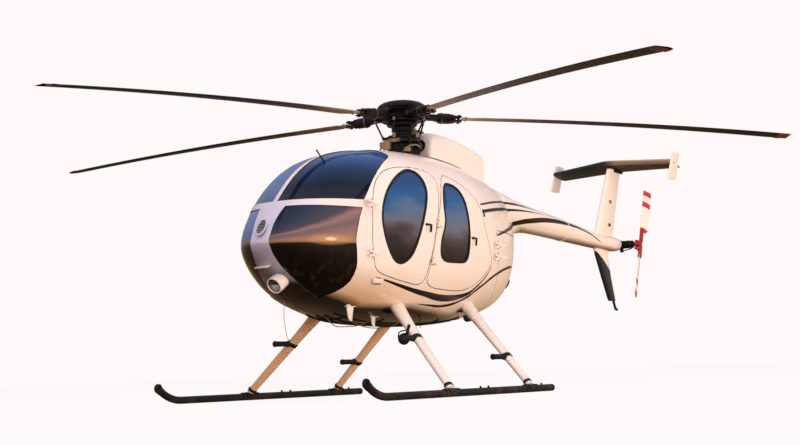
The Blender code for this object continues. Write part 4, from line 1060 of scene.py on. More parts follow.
pod_clear = tool("pod_clear", skin(-0.0006))
inlet = bmesh.new()
bmesh.ops.create_cone(inlet, cap_ends=True, segments=48, radius1=0.150, radius2=0.112, depth=0.30)
bmesh.ops.scale(inlet, vec=(0.95, 0.62, 1), verts=inlet.verts)
spun(inlet, (-90, 0, 0))
shifted(inlet, (0, 0.20, 2.452))
fairing = carved(loft(FAIRING_ROWS, fairing_ring), ("DIFFERENCE", pod_clear), ("DIFFERENCE", tool("inlet", inlet)))
dress("mast_fairing_skin", fairing, "airframe", plain_paint, ("mast_fairing",), 30)
boom = carved(loft(BOOM_ROWS, boom_ring), ("DIFFERENCE", pod_clear))
dress("tail_boom_skin", boom, "airframe", pod_paint, ("tail_boom",), 30)
FILLET_ROWS = between((  # y, bottom z, half width
    (1.35, 1.330, 0.200), (1.50, 1.420, 0.170), (1.66, 1.500, 0.140), (1.80, 1.590, 0.120), (1.95, 1.665, 0.105),
    (2.12, 1.700, 0.085), (2.30, 1.712, 0.060)), 4)


def fillet_ring(row):
    y, bottom, half_width = row
    top = 1.86
    points = []
    for k in range(40):
        turn = 2 * math.pi * k / 40
        points.append((half_width * math.cos(turn), y, (top + bottom) / 2 + (top - bottom) / 2 * math.sin(turn)))
    return points


fillet = carved(loft(FILLET_ROWS, fillet_ring), ("DIFFERENCE", pod_clear))
dress("boom_root_fillet", fillet, "airframe", pod_paint, (), 30)
dress("boom_band", collar(0.128, 0.1185, 0.012, (0, 3.10, 1.795), (0, 1, -0.09), 48), "airframe", plain_paint)
def top_z(x, y):
    """The pod's upper height over a point."""
    for first, second in zip(SKIN_ROWS, SKIN_ROWS[1:]):
        if first[0] <= y <= second[0]:
            share = (y - first[0]) / max(1e-9, second[0] - first[0])
            _, bottom, top, half_width, widest, above, below = (a + (b - a) * share for a, b in zip(first, second))
            return widest + (top - widest) * max(0.0, 1.0 - abs(x / half_width) ** above) ** (1 / above)
    return 2.0


seal_line = [(x, 0.205, top_z(x, 0.205) + 0.002) for x in (-0.14, -0.07, 0.0, 0.07, 0.14)]
seal_line += [(0.185, 0.235, top_z(0.185, 0.235) + 0.002), (0.208, 0.33, top_z(0.208, 0.33) + 0.002),
              (0.211, 0.52, top_z(0.211, 0.52) + 0.002), (0.208, 0.70, top_z(0.208, 0.70) + 0.002)]
dress("fairing_seal", bar(seal_line, 0.007), "airframe", rubber)
screen_bars = [rod((-0.045 + x, 0.300, 2.392), (-0.045 + x, 0.300, 2.488), 0.0030, 8) for x in (-0.06, -0.03, 0.0, 0.03, 0.06)]
screen_bars += [rod((-0.130, 0.298, z), (0.040, 0.298, z), 0.0030, 8) for z in (2.41, 2.44, 2.47)]
dress("inlet_screen", merged(*screen_bars), "airframe", steel_metal)
# A black plate behind the inlet screen stands in for the shade deep inside the inlet.
inlet_shade_slab = carved(slab((0.270, 0.012, 0.170), (0, 0.305, 2.452), 0.005), ("DIFFERENCE", pod_clear))
dress("inlet_shade", inlet_shade_slab, "airframe", rotor_black)

# %% [markdown]
# The tail has a tall swept fin under a slim tailplane with two end plates, and a black
# lower fin with a hooked skid. Each is a lofted wing section.

# %% Fins and tailplane
SECTION = ((0.0, 0.0), (0.012, 0.17), (0.03, 0.28), (0.07, 0.41), (0.12, 0.48), (0.22, 0.5), (0.35, 0.49), (0.50, 0.43),
           (0.70, 0.31), (0.86, 0.17), (1.0, 0.05))


def wing(rows, across=(1, 0, 0)):
    """Rows of (leading edge point, chord, thickness) along a wing or fin."""
    across = Vector(across)

    def ring(row):
        edge, chord, thickness = Vector(row[0]), row[1], row[2]
        upper = [edge + Vector((0, a * chord, 0)) + across * (b * thickness) for a, b in SECTION]
        return upper + [edge + Vector((0, a * chord, 0)) - across * (b * thickness) for a, b in SECTION[:0:-1]]

    return loft(rows, ring)


boom_clear = tool("boom_clear", loft(BOOM_ROWS, lambda row: boom_ring(row, 0.0006)))
upper = wing((((0, 3.90, 1.66), 0.48, 0.065), ((0, 3.94, 1.80), 0.467, 0.064), ((0, 4.34, 2.60), 0.337, 0.060),
              ((0, 4.36, 2.6396), 0.33, 0.058)))
dress("upper_fin_skin", carved(upper, ("DIFFERENCE", boom_clear)), "airframe", plain_paint, ("fin_upper",), 40)
lower = wing((((0, 4.245, 1.00), 0.165, 0.042), ((0, 4.230, 1.02), 0.172, 0.052), ((0, 4.080, 1.29), 0.235, 0.056),
              ((0, 3.94, 1.55), 0.325, 0.058), ((0, 3.90, 1.66), 0.42, 0.06)))
lower_finish = Finish("lower_fin_paint", (0.014, 0.015, 0.019), 0.36)
_, fin_y, fin_z = lower_finish.place()
lower_edge = (fin_z - 1.560 + (fin_y - 3.98) * 0.62).ramp(-0.003, 0.003)
lower_finish.feed("Base Color", lower_finish.mix(lower_edge, (0.014, 0.015, 0.019), CREAM))
lower_finish.feed("Roughness", 0.34 + lower_finish.noise(8.0, 4.0) * 0.12)
dress("lower_fin_skin", carved(lower, ("DIFFERENCE", boom_clear)), "airframe", lower_finish.material, ("fin_lower",), 40)
hook = bar([(0, 4.335, 1.035), (0, 4.360, 0.985), (0, 4.385, 0.935), (0, 4.405, 0.905), (0, 4.440, 0.897)], 0.017)
dress("tail_skid_hook", hook, "airframe", rotor_black)
fin_marks = [disc(0.022, 0.010, (side * 0.034, y, z), (1, 0, 0), 24) for _, side in SIDES for y, z in ((4.33, 2.22), (4.28, 1.93))]
dress("fin_fittings", merged(*fin_marks), "airframe", bronze_metal)

TAILPLANE_ROWS = (  # span x, leading edge y, chord, drop at the tip
    (-0.800, 4.42, 0.30, 0.040), (-0.40, 4.36, 0.36, 0.018), (-0.06, 4.305, 0.415, 0.0), (0.0, 4.30, 0.42, 0.0),
    (0.06, 4.305, 0.415, 0.0), (0.40, 4.36, 0.36, 0.018), (0.800, 4.42, 0.30, 0.040))
NOSE_UP = 0.20


def tailplane_ring(row):
    x, front, chord, drop = row
    upper = [(a, b) for a, b in SECTION]
    outline = upper + [(a, -b) for a, b in SECTION[:0:-1]]
    return [(x, front + a * chord, 2.672 - drop + b * 0.056 + (0.5 - a) * chord * NOSE_UP) for a, b in outline]


tailplane_finish = Finish("tailplane_paint", (0.03, 0.04, 0.05), 0.42, 0.0, Specular_IOR_Level=0.3)
plane_x, plane_y, plane_z = tailplane_finish.place()
plane_film = tailplane_finish.noise(5.0, 4.0)
# Painted light: the port half is a warmer brown than the bluish starboard half.
plane_tone = tailplane_finish.mix(plane_x.ramp(-0.06, 0.10), (0.040, 0.050, 0.068), (0.055, 0.036, 0.022))
# A painted highlight runs along the port half's leading edge.
painted_edge_highlight = (4.36 + plane_x.size() * 0.16 - plane_y).ramp(-0.015, 0.03)
plane_tone = tailplane_finish.mix(painted_edge_highlight * plane_x.ramp(-0.02, 0.12), plane_tone, (0.36, 0.25, 0.17))
plane_tone = tailplane_finish.mix(plane_film.ramp(0.5, 0.8) * 0.3, plane_tone, (0.16, 0.12, 0.10))
tailplane_finish.feed("Base Color", plane_tone)
tailplane_finish.feed("Roughness", 0.36 + plane_film * 0.15)
dress("tailplane_skin", loft(TAILPLANE_ROWS, tailplane_ring), "airframe", tailplane_finish.material, ("stabilizer",), 40)
for side_name, side in SIDES:
    plate = wing((((0, -0.080, -0.195), 0.22, 0.016), ((0, -0.075, -0.185), 0.225, 0.022), ((0, 0.055, 0.135), 0.215, 0.022),
                  ((0, 0.060, 0.145), 0.21, 0.014)))
    spun(plate, (0, 2, 0))
    dress(f"end_plate_{side_name}", shifted(plate, (side * 0.806, 4.43, 2.625)), "airframe", plain_paint, (), 40)
    lamp = turned(((0.0, 0.020), (0.010, 0.017), (0.014, 0.006), (0.014, 0.0), (0.0, 0.0)), (side * 0.820, 4.50, 2.640),
                  (side, 0, 0), 20)
    dress(f"position_lamp_{side_name}", lamp, "airframe", lamp_glass)
saddle = merged(slab((0.085, 0.16, 0.05), (0, 4.55, 2.628), 0.012, 3), slab((0.05, 0.06, 0.05), (0, 4.70, 2.628), 0.012, 3),
                rod((0, 4.62, 2.60), (0, 4.62, 2.645), 0.018))
dress("tailplane_saddle", saddle, "airframe", rotor_black)

# %% [markdown]
# The rotor head is the busiest place: a star of arms and pitch housings, five lead-lag
# dampers, horns with links down to the swashplate, and a domed cap over it all.

# %% Rotor head
HUB_Z = 2.728
DROOP = math.radians(2.7)
BLADE_ANGLES = [math.radians(-97.6 + 72 * k) for k in range(5)]


def on_arm(bm, angle, droop=DROOP):
    turn = Matrix.Rotation(angle, 3, "Z") @ Matrix.Rotation(droop, 3, "Y")
    bmesh.ops.rotate(bm, matrix=turn, verts=bm.verts)
    bmesh.ops.translate(bm, vec=(0, 0, HUB_Z), verts=bm.verts)
    return bm


head = [turned(((0.0, -0.080), (0.052, -0.080), (0.060, -0.075), (0.110, -0.068), (0.134, -0.055), (0.134, 0.055),
                (0.128, 0.066), (0.0, 0.070)), (0, 0, HUB_Z), steps=40),
        rod((0, 0, HUB_Z - 0.230), (0, 0, HUB_Z - 0.06), 0.040, 28),
        collar(0.060, 0.040, 0.050, (0, 0, HUB_Z - 0.120), steps=28)]
head += [disc(0.200, 0.020, (0, 0, HUB_Z - 0.050), steps=40), disc(0.150, 0.030, (0, 0, HUB_Z - 0.085), steps=40),
         collar(0.105, 0.045, 0.060, (0, 0, HUB_Z - 0.135), steps=32)]
trim = []
for angle in BLADE_ANGLES:
    head.append(on_arm(slab((0.300, 0.085, 0.050), (0.250, 0, 0), 0.010, 3), angle))
    head.append(on_arm(oriented(turned(((0.0, -0.086), (0.040, -0.086), (0.052, -0.074), (0.052, 0.040), (0.047, 0.050),
                                        (0.047, 0.078), (0.040, 0.086), (0.0, 0.086)), steps=28), (0.44, 0, 0), (1, 0, 0)), angle))
    for height in (0.021, -0.021):
        head.append(on_arm(slab((0.120, 0.100, 0.016), (0.540, 0, height), 0.005), angle))
    head.append(on_arm(slab((0.050, 0.092, 0.040), (0.515, 0, 0), 0.006), angle))
    head.append(on_arm(slab((0.032, 0.110, 0.026), (0.240, 0.075, -0.012), 0.006), angle))
    damper = [rod((0.200, -0.072, 0.006), (0.400, -0.072, 0.006), 0.019, 20), rod((0.400, -0.072, 0.006), (0.505, -0.062, 0.004), 0.008),
              slab((0.030, 0.050, 0.030), (0.195, -0.055, 0.004), 0.006), slab((0.024, 0.040, 0.026), (0.505, -0.050, 0.0), 0.005)]
    head += [on_arm(part, angle) for part in damper]
    for x, y, up in ((0.575, 0.028, 0.040), (0.575, -0.028, 0.040), (0.335, 0.0, 0.036), (0.500, 0.0, 0.040)):
        trim.append(on_arm(merged(rod((x, y, -up), (x, y, up), 0.0105, 14), disc(0.016, 0.010, (x, y, up - 0.006), steps=6),
                                  disc(0.016, 0.010, (x, y, -up + 0.006), steps=6)), angle))
    trim.append(on_arm(collar(0.058, 0.048, 0.014, (0.395, 0, 0), (1, 0, 0), 28), angle))
    trim.append(on_arm(collar(0.023, 0.016, 0.010, (0.255, -0.072, 0.006), (1, 0, 0), 18), angle))
dress("rotor_head_star", merged(*head), "main_rotor", rotor_black, ("rotor_head",), 40)
dress("rotor_head_bolts", merged(*trim), "main_rotor", bronze_metal)

cap = turned(((0.0, 0.0855), (0.05, 0.0838), (0.10, 0.0785), (0.15, 0.0690), (0.19, 0.0560), (0.222, 0.0390), (0.238, 0.0200),
              (0.245, 0.0060), (0.244, 0.0005), (0.225, 0.0005), (0.215, 0.008), (0.0, 0.010)), (0, 0, HUB_Z + 0.0700), steps=64)
dress("rotor_cap", cap, "main_rotor", rotor_black, ("hub_cap",), 40)
cap_bolts = [disc(0.009, 0.008, (0.205 * math.cos(k * math.pi / 5), 0.205 * math.sin(k * math.pi / 5), HUB_Z + 0.119), steps=8)
             for k in range(10)]
dress("rotor_cap_bolts", merged(*cap_bolts), "main_rotor", steel_metal)

# %% Swashplate, links and mast
SWASH_Z = 2.47
links = [collar(0.150, 0.063, 0.035, (0, 0, SWASH_Z + 0.042), steps=48)]
ends = []
for angle in BLADE_ANGLES:
    reach = Vector((0.24, 0.118, 0.0))
    reach.rotate(Euler((0, 0, angle)))
    foot = Vector((0.18, 0.06, 0.0))
    foot.rotate(Euler((0, 0, angle)))
    top = Vector((reach.x, reach.y, HUB_Z - 0.044))
    bottom = Vector((foot.x, foot.y, SWASH_Z + 0.042))
    links.append(rod(bottom, top, 0.0085, 12))
    along = (top - bottom).normalized()
    for place, way in ((bottom + along * 0.020, 1), (top - along * 0.014, -1)):
        ends.append(disc(0.0135, 0.030, place, along, 6))
    arm = spun(slab((0.120, 0.035, 0.028), (0.135, 0, 0), 0.007, 3), (0, 0, math.degrees(angle + math.atan2(0.06, 0.18))))
    links.append(shifted(arm, (0, 0, SWASH_Z + 0.042)))
    ends.append(disc(0.015, 0.030, bottom, (0, 0, 1), 16))
dress("pitch_links", merged(*links), "main_rotor", rotor_black, ("swashplate_rotating",), 40)
dress("pitch_link_ends", merged(*ends), "main_rotor", gold_wire)

swash_finish = Finish("swash_metal", (0.02, 0.018, 0.016), 0.40, 0.3)
swash_x, swash_y, _ = swash_finish.place()
swash_film = swash_finish.noise(14.0, 3.0)
# Painted shade: the swashplate is bronze on its forward starboard half and near-black on the rest.
lit_half = (-0.03 - swash_x * 0.75 - swash_y * 0.65).ramp(0.0, 0.05)
swash_finish.feed("Base Color", swash_finish.mix(lit_half, (0.016, 0.013, 0.012), (0.42, 0.27, 0.15)))
swash_finish.feed("Roughness", 0.36 + swash_film * 0.15)
swash_metal = swash_finish.material
lower_plate = [slab((0.095, 0.080, 0.060), (-0.120, -0.125, SWASH_Z - 0.028), 0.012, 3),
               slab((0.060, 0.060, 0.090), (-0.070, -0.165, SWASH_Z - 0.040), 0.012, 3),
               slab((0.050, 0.060, 0.070), (0.150, 0.060, SWASH_Z - 0.045), 0.012, 3),
               collar(0.165, 0.063, 0.035, (0, 0, SWASH_Z + 0.0065), steps=48)]
for turn_deg in (90, 210, 330):
    out = Vector((0.185, 0, 0))
    out.rotate(Euler((0, 0, math.radians(turn_deg))))
    lower_plate.append(rod((out.x, out.y, SWASH_Z - 0.168), (out.x, out.y, SWASH_Z + 0.018), 0.0105, 14))
    lower_plate.append(rod((out.x * 0.80, out.y * 0.80, SWASH_Z + 0.0065), (out.x, out.y, SWASH_Z + 0.0065), 0.015, 14))
    lower_plate.append(disc(0.019, 0.030, (out.x, out.y, SWASH_Z + 0.0065), steps=14))
dress("swashplate_lower", carved(merged(*lower_plate), ("DIFFERENCE", pod_clear)), "airframe", swash_metal,
      ("swashplate_fixed",), 40)
boot = [collar(0.100, 0.064, 0.030, (0, 0, SWASH_Z + 0.078), steps=40), collar(0.090, 0.064, 0.016, (0, 0, SWASH_Z + 0.098), steps=40)]
sleeve = turned(((0.062, 2.300), (0.140, 2.300), (0.140, 2.372), (0.132, 2.380), (0.140, 2.388), (0.130, 2.400), (0.136, 2.410),
                 (0.124, 2.424), (0.128, 2.434), (0.108, 2.452), (0.062, 2.452), (0.062, 2.300)), steps=40)
dress("mast_sleeve", carved(sleeve, ("DIFFERENCE", pod_clear)), "airframe", rubber)
dress("swashplate_boot", merged(*boot), "main_rotor", rubber)
mast = [turned(((0.0, 2.300), (0.176, 2.300), (0.180, 2.325), (0.165, 2.334), (0.150, 2.350), (0.128, 2.395), (0.125, 2.420),
                (0.112, 2.424), (0.100, 2.440), (0.070, 2.470), (0.057, 2.482), (0.054, 2.486), (0.054, 2.548), (0.0415, 2.5492),
                (0.0415, 2.470), (0.0, 2.470)), steps=56)]
for k in range(10):
    turn = 2 * math.pi * k / 10
    mast.append(disc(0.010, 0.016, (0.158 * math.cos(turn), 0.158 * math.sin(turn), 2.345), (math.cos(turn) * 0.6, math.sin(turn) * 0.6, 1), 6))
    fin = slab((0.055, 0.008, 0.060), (0.122, 0, 2.385), 0.003)
    bmesh.ops.rotate(fin, matrix=Matrix.Rotation(turn, 3, "Z"), verts=fin.verts)
    mast.append(fin)
dress("mast_base", carved(merged(*mast), ("DIFFERENCE", pod_clear)), "airframe", rotor_black, ("mast_support",), 40)
plumbing = [bar([(-0.16, -0.06, 2.36), (-0.20, -0.10, 2.39), (-0.205, -0.06, 2.43), (-0.17, 0.02, 2.44), (-0.11, 0.05, 2.45)], 0.008),
            bar([(0.10, -0.13, 2.36), (0.16, -0.13, 2.40), (0.19, -0.05, 2.42), (0.17, 0.06, 2.41)], 0.007),
            slab((0.07, 0.05, 0.05), (-0.19, -0.09, 2.372), 0.010, 3), slab((0.05, 0.05, 0.045), (0.15, -0.13, 2.372), 0.010, 3)]
dress("mast_plumbing", carved(merged(*plumbing), ("DIFFERENCE", pod_clear)), "airframe", gold_wire, (), 40)

# %% [markdown]
# The main blades are lofted again with a twist and a slight bow, and are painted
# by distance from the hub. The tail rotor gets finer blades in red and white bands.

# %% Blades and tail rotor
BLADE_SECTION = ((0.0, 0.0), (0.010, 0.021), (0.03, 0.034), (0.08, 0.051), (0.16, 0.060), (0.30, 0.061), (0.50, 0.047),
                 (0.75, 0.024), (1.0, 0.003))


def blade_ring(row):
    """One section: (radius, chord, pitch). The blade bows up in the middle and hangs at the tip."""
    radius, chord, pitch_deg = row
    pitch = math.radians(pitch_deg)
    share = (radius - 0.60) / 3.425
    bow = 0.115 * share * (1 - share) - 0.010 * share
    flat = [(0.25 - a, b) for a, b in BLADE_SECTION] + [(0.25 - a, -b) for a, b in BLADE_SECTION[:0:-1]]
    return [(radius, chord * (a * math.cos(pitch) - b * math.sin(pitch)),
             bow + chord * (a * math.sin(pitch) + b * math.cos(pitch))) for a, b in flat]


BLADE_ROWS = between(((0.602, 0.085, 2.0), (0.70, 0.150, 2.0), (0.80, 0.171, 2.0), (1.60, 0.171, 0.5), (2.40, 0.171, -1.5),
                      (3.20, 0.171, -3.5), (4.00, 0.171, -5.0), (4.022, 0.150, -5.0)), 3)
for number, angle in enumerate(BLADE_ANGLES, 1):
    dress(f"main_blade_{number}_skin", on_arm(loft(BLADE_ROWS, blade_ring), angle), "main_rotor", blade_paint,
          (f"main_blade_{number}",), 30)
    cuff = on_arm(slab((0.090, 0.094, 0.018), (0.648, -0.018, 0.002), 0.006), angle)
    cuff_pins = [on_arm(rod((0.640, y, -0.018), (0.640, y, 0.022), 0.008, 12), angle) for y in (0.012, -0.046)]
    dress(f"blade_cuff_{number}", merged(cuff, *cuff_pins), "main_rotor", gold_wire)
    weight = on_arm(slab((0.060, 0.020, 0.012), (3.985, 0.050, -0.012), 0.004), angle)
    dress(f"blade_tip_weight_{number}", weight, "main_rotor", rotor_black)

TAIL = Vector((0.29, 4.59, 1.70))
tail_parts = []
hub_parts = [turned(((0.0, -0.064), (0.050, -0.062), (0.050, -0.042), (0.030, -0.036), (0.030, 0.004), (0.024, 0.010), (0.0, 0.012)),
                    TAIL, (1, 0, 0), 32)]
for way in (0, 180):
    def ring(row):
        z, chord, thickness, twist = row
        turn = math.radians(twist)
        points = [(a * chord - 0.25 * chord, b * thickness) for a, b in SECTION]
        points += [(a * chord - 0.25 * chord, -b * thickness) for a, b in SECTION[:0:-1]]
        return [(0.0007 + a * math.sin(turn) + b * math.cos(turn), a * math.cos(turn) - b * math.sin(turn), z) for a, b in points]

    blade = loft(((0.150, 0.085, 0.022, 20), (0.185, 0.128, 0.018, 20), (0.260, 0.135, 0.016, 20), (0.688, 0.135, 0.014, 18),
                  (0.696, 0.120, 0.010, 18)), ring)
    grip = slab((0.034, 0.056, 0.170), (0, 0, 0.105), 0.010, 3)
    horn = merged(slab((0.020, 0.070, 0.026), (-0.022, 0.040, 0.085), 0.005), disc(0.012, 0.030, (-0.030, 0.070, 0.085), (1, 0, 0), 16))
    bolts = merged(*[disc(0.010, 0.044, (0, y, z), (1, 0, 0), 6) for y, z in ((-0.012, 0.150), (0.014, 0.170))])
    for part, store in ((blade, tail_parts), (grip, hub_parts), (horn, hub_parts), (bolts, hub_parts)):
        spun(part, (-17 + way, 0, 0))
        store.append(shifted(part, TAIL))
dress("tail_rotor_blades", merged(*tail_parts), "tail_rotor", tail_blade_paint, ("tail_rotor",), 40)
dress("tail_rotor_hub", merged(*hub_parts), "tail_rotor", worn(
    "hub_red", (0.45, 0.03, 0.035), (0.10, 0.03, 0.03), 0.4, 0.2), (), 40)

box_parts = [turned(((0.0, 4.499), (0.062, 4.501), (0.068, 4.510), (0.068, 4.530), (0.056, 4.536), (0.060, 4.560), (0.060, 4.615),
                     (0.050, 4.632), (0.0, 4.636)), (0, 0, 1.70), (0, 1, 0), 36),
             oriented(turned(((0.0, 0.0), (0.046, 0.0), (0.046, 0.050), (0.040, 0.058), (0.040, 0.150), (0.046, 0.156), (0.046, 0.180),
                              (0.030, 0.190), (0.028, 0.219), (0.0, 0.2195)), steps=32), (0, 4.59, 1.70), (1, 0, 0))]
for k in range(8):
    turn = 2 * math.pi * k / 8
    box_parts.append(disc(0.007, 0.014, (0.058 * math.cos(turn), 4.536, 1.70 + 0.058 * math.sin(turn)), (0, 1, 0), 6))
for offset in (0.060, 0.085, 0.110, 0.135):
    box_parts.append(collar(0.050, 0.038, 0.008, (offset, 4.59, 1.70), (1, 0, 0), 32))
box_parts += [slab((0.030, 0.050, 0.060), (0.030, 4.585, 1.635), 0.008, 3), bar([(0.02, 4.50, 1.650), (0.06, 4.58, 1.630), (0.14, 4.60, 1.645), (0.19, 4.60, 1.668)], 0.007)]
dress("tail_gearbox_casting", merged(*box_parts), "airframe", rotor_black, ("tail_gearbox",), 40)

# %% [markdown]
# Skids are bent tubes with an end ring, and each strut is a faired leg
# with a shoe clamped round the tube, a foot peg and a dark bracket at the belly.

# %% Landing gear
# The starboard struts get an orange copy of the cream paint: painted warm light from below.
warm_lit_finish = Finish("warm_lit_paint", (0.88, 0.53, 0.31), 0.30, 0.0, Coat_Weight=0.4)
leg_film = warm_lit_finish.noise(4.0, 3.0)
warm_lit_finish.feed("Base Color", warm_lit_finish.mix(leg_film.ramp(0.3, 0.8), (0.80, 0.47, 0.28), (0.70, 0.39, 0.22)))
warm_lit_finish.feed("Roughness", 0.30 + leg_film * 0.06)
warm_lit_paint = warm_lit_finish.material
SKID_X, SKID_R = 1.158, 0.034
SKID_Z = SKID_R * math.cos(math.pi / 14)
STRUT_ROWS = (("front", -1.02, -0.768, 0.52), ("rear", 0.31, 0.413, 0.34))
for side_name, side in SIDES:
    line = [(side * SKID_X, 0.72, SKID_Z), (side * SKID_X, -0.20, SKID_Z), (side * SKID_X, -1.00, SKID_Z), (side * SKID_X, -1.94, SKID_Z)]
    for k in range(1, 17):
        turn = math.radians(44) * k / 16
        line.append((side * SKID_X, -1.94 - 0.42 * math.sin(turn), SKID_Z + 0.42 * (1 - math.cos(turn))))
    tube = bar(line, SKID_Z, 28, smooth=False)
    dress(f"skid_tube_{side_name}", tube, "airframe", skid_black, (f"skid_{side_name}",), 50)
    tip = Vector(line[-1])
    lead = (tip - Vector(line[-2])).normalized()
    ring_piece = collar(0.042, 0.017, 0.030, tip - lead * 0.010, (1, 0, 0), 28)
    dress(f"skid_toe_{side_name}", merged(ring_piece, disc(0.036, 0.030, tip - lead * 0.045, lead, 28)), "airframe", skid_black)
    clamps = [collar(0.038, 0.0325, 0.030, (side * SKID_X, y, SKID_R + 0.004), (0, 1, 0), 28) for y in (-1.115, -0.925, 0.215, 0.405)]
    studs = [disc(0.010, 0.020, (side * SKID_X, y, 2 * SKID_R + 0.004), steps=8) for y in (-0.55, -0.42, 0.52)]
    dress(f"skid_clamps_{side_name}", merged(*clamps, *studs), "airframe", skid_black)
    plug_piece = disc(0.0325, 0.012, (side * SKID_X, 0.716, SKID_Z + 0.0), (0, 1, 0), 28)
    dress(f"skid_plug_{side_name}", plug_piece, "airframe", rubber)
    for place, foot_y, hull_y, step_z in STRUT_ROWS:
        foot = Vector((side * (SKID_X - 0.006), foot_y, 2 * SKID_R + 0.004))
        hull = Vector((side * 0.36, hull_y, 0.905))
        along = hull - foot
        level = along.normalized()
        chordwise = (Vector((0, 1, 0)) - level * level.y).normalized()
        thick = level.cross(chordwise)

        def leg_ring(row):
            share, chord, depth = row
            middle = foot + along * share
            return [middle + chordwise * (chord * math.cos(2 * math.pi * k / 40)) + thick * (depth * math.sin(2 * math.pi * k / 40))
                    for k in range(40)]

        leg = loft(between(((0.0, 0.042, 0.028), (0.06, 0.046, 0.030), (0.30, 0.058, 0.031), (0.55, 0.066, 0.034),
                            (0.75, 0.076, 0.042), (0.90, 0.092, 0.056), (1.0, 0.104, 0.066)), 4), leg_ring)
        strut = carved(leg, ("DIFFERENCE", pod_clear))
        # Painted warm light: the starboard legs take the orange copy.
        leg_paint = plain_paint if side > 0 else warm_lit_paint
        dress(f"{place}_strut_leg_{side_name}", strut, "airframe", leg_paint, (f"strut_{place}_{side_name}",), 40)
        shoe = collar(SKID_R + 0.011, SKID_R + 0.0006, 0.130, (side * SKID_X, foot_y, SKID_Z), (0, 1, 0), 36)
        bmesh.ops.bisect_plane(shoe, geom=list(shoe.verts) + list(shoe.edges) + list(shoe.faces), dist=1e-6,
                               plane_co=(0, 0, SKID_R), plane_no=(0, 0, -1), clear_outer=True)
        bmesh.ops.holes_fill(shoe, edges=[e for e in shoe.edges if e.is_boundary])
        dress(f"{place}_strut_shoe_{side_name}", shoe, "airframe", skid_black)
        at_step = foot + along * ((step_z - foot.z) / along.z)
        peg = [rod(at_step + Vector((0, -0.255, 0)), at_step + Vector((0, -0.02, 0)), 0.0235, 24),
               disc(0.029, 0.020, at_step + Vector((0, -0.250, 0)), (0, 1, 0), 24),
               disc(0.031, 0.030, at_step + Vector((0, -0.060, 0)), (0, 1, 0), 24)]
        peg += [collar(0.0255, 0.022, 0.008, at_step + Vector((0, -0.09 - 0.022 * k, 0)), (0, 1, 0), 24) for k in range(7)]
        dress(f"{place}_foot_peg_{side_name}", merged(*peg), "airframe", rubber)
        band = collar(0.042, 0.034, 0.040, (0, 0, 0), (0, 0, 1), 36)
        bmesh.ops.scale(band, vec=(0.95, 1.55, 1.0), verts=band.verts)
        dress(f"{place}_peg_band_{side_name}", oriented(band, at_step, along), "airframe", rotor_black)
        low_band = collar(0.045, 0.036, 0.026, (0, 0, 0), (0, 0, 1), 36)
        bmesh.ops.scale(low_band, vec=(0.80, 1.14, 1.0), verts=low_band.verts)
        dress(f"{place}_foot_band_{side_name}", oriented(low_band, foot + along.normalized() * 0.035, along), "airframe", skid_black)

# %% [markdown]
# Under the belly there is a black pan, its black partly painted shade, with ribs, two pale
# blade antennas, a whip, a searchlight-like lamp in dark blue, and a black camera-sized lamp near the front strut.

# %% Belly
def belly_z(x, y):
    """The skin's height under a point."""
    rows = sorted(SKIN_ROWS)
    for first, second in zip(rows, rows[1:]):
        if first[0] <= y <= second[0]:
            share = (y - first[0]) / max(1e-9, second[0] - first[0])
            _, bottom, top, half_width, widest, above, below = (a + (b - a) * share for a, b in zip(first, second))
            return widest - (widest - bottom) * max(0.0, 1.0 - abs(x / half_width) ** below) ** (1 / below)
    return 1.0


ANTENNA_ROWS = ((0.33, -1.33, 1.0), (0.29, -0.93, 0.72))
for number, (x, y, tall) in enumerate(ANTENNA_ROWS):
    low = belly_z(x, y)
    blade = wing((((x, y - 0.02, low - 0.130 * tall), 0.035 * tall, 0.010), ((x, y - 0.045, low - 0.10 * tall), 0.065 * tall, 0.014),
                  ((x, y - 0.065, low + 0.012), 0.110 * tall, 0.018)))
    base = shifted(slab((0.04, 0.13 * tall, 0.008), (0, 0, 0), 0.003), (x, y - 0.01, low - 0.003))
    dress(f"belly_antenna_{number}", merged(blade, base), "airframe", plain_paint, (), 40)
pan_parts = []
for x in (-0.16, -0.05, 0.05, 0.16):
    path = [(x, y, belly_z(x, y) - 0.004) for y in (-1.35, -1.1, -0.8, -0.5, -0.2, 0.1, 0.4, 0.65)]
    pan_parts.append(bar(path, 0.008))
for y in (-1.2, -0.75, -0.3, 0.15, 0.5):
    path = [(x, y, belly_z(x, y) - 0.004) for x in (-0.26, -0.13, 0.0, 0.13, 0.26)]
    pan_parts.append(bar(path, 0.006))
dress("belly_ribs", merged(*pan_parts), "airframe", rubber)
LAMP_HOLD = belly_z(0.24, 0.72)
pod_lamp = merged(turned(((0.0, -0.085), (0.030, -0.082), (0.040, -0.060), (0.042, 0.060), (0.038, 0.075), (0.0, 0.070)),
                         (0.24, 0.72, LAMP_HOLD - 0.035), (0.25, -1.0, -0.08), 36),
                  slab((0.05, 0.09, 0.05), (0.24, 0.72, LAMP_HOLD - 0.004), 0.008, 3))
dress("belly_lamp", pod_lamp, "airframe", worn("lamp_blue", (0.008, 0.018, 0.075), (0.04, 0.06, 0.13), 0.3, 0.1))
search = merged(turned(((0.0, -0.055), (0.036, -0.050), (0.048, -0.020), (0.052, 0.030), (0.047, 0.040), (0.041, 0.034), (0.0, 0.024)),
                       (0.655, -0.985, 0.520), (0.35, -0.90, -0.20), 36),
                bar([(0.655, -0.955, 0.545), (0.66, -0.930, 0.60), (0.65, -0.900, 0.640)], 0.014),
                bar([(0.606, -1.010, 0.52), (0.606, -0.995, 0.575), (0.655, -0.975, 0.592), (0.704, -0.995, 0.57), (0.704, -1.005, 0.52)], 0.006))
dress("strut_lamp", search, "airframe", rotor_black)
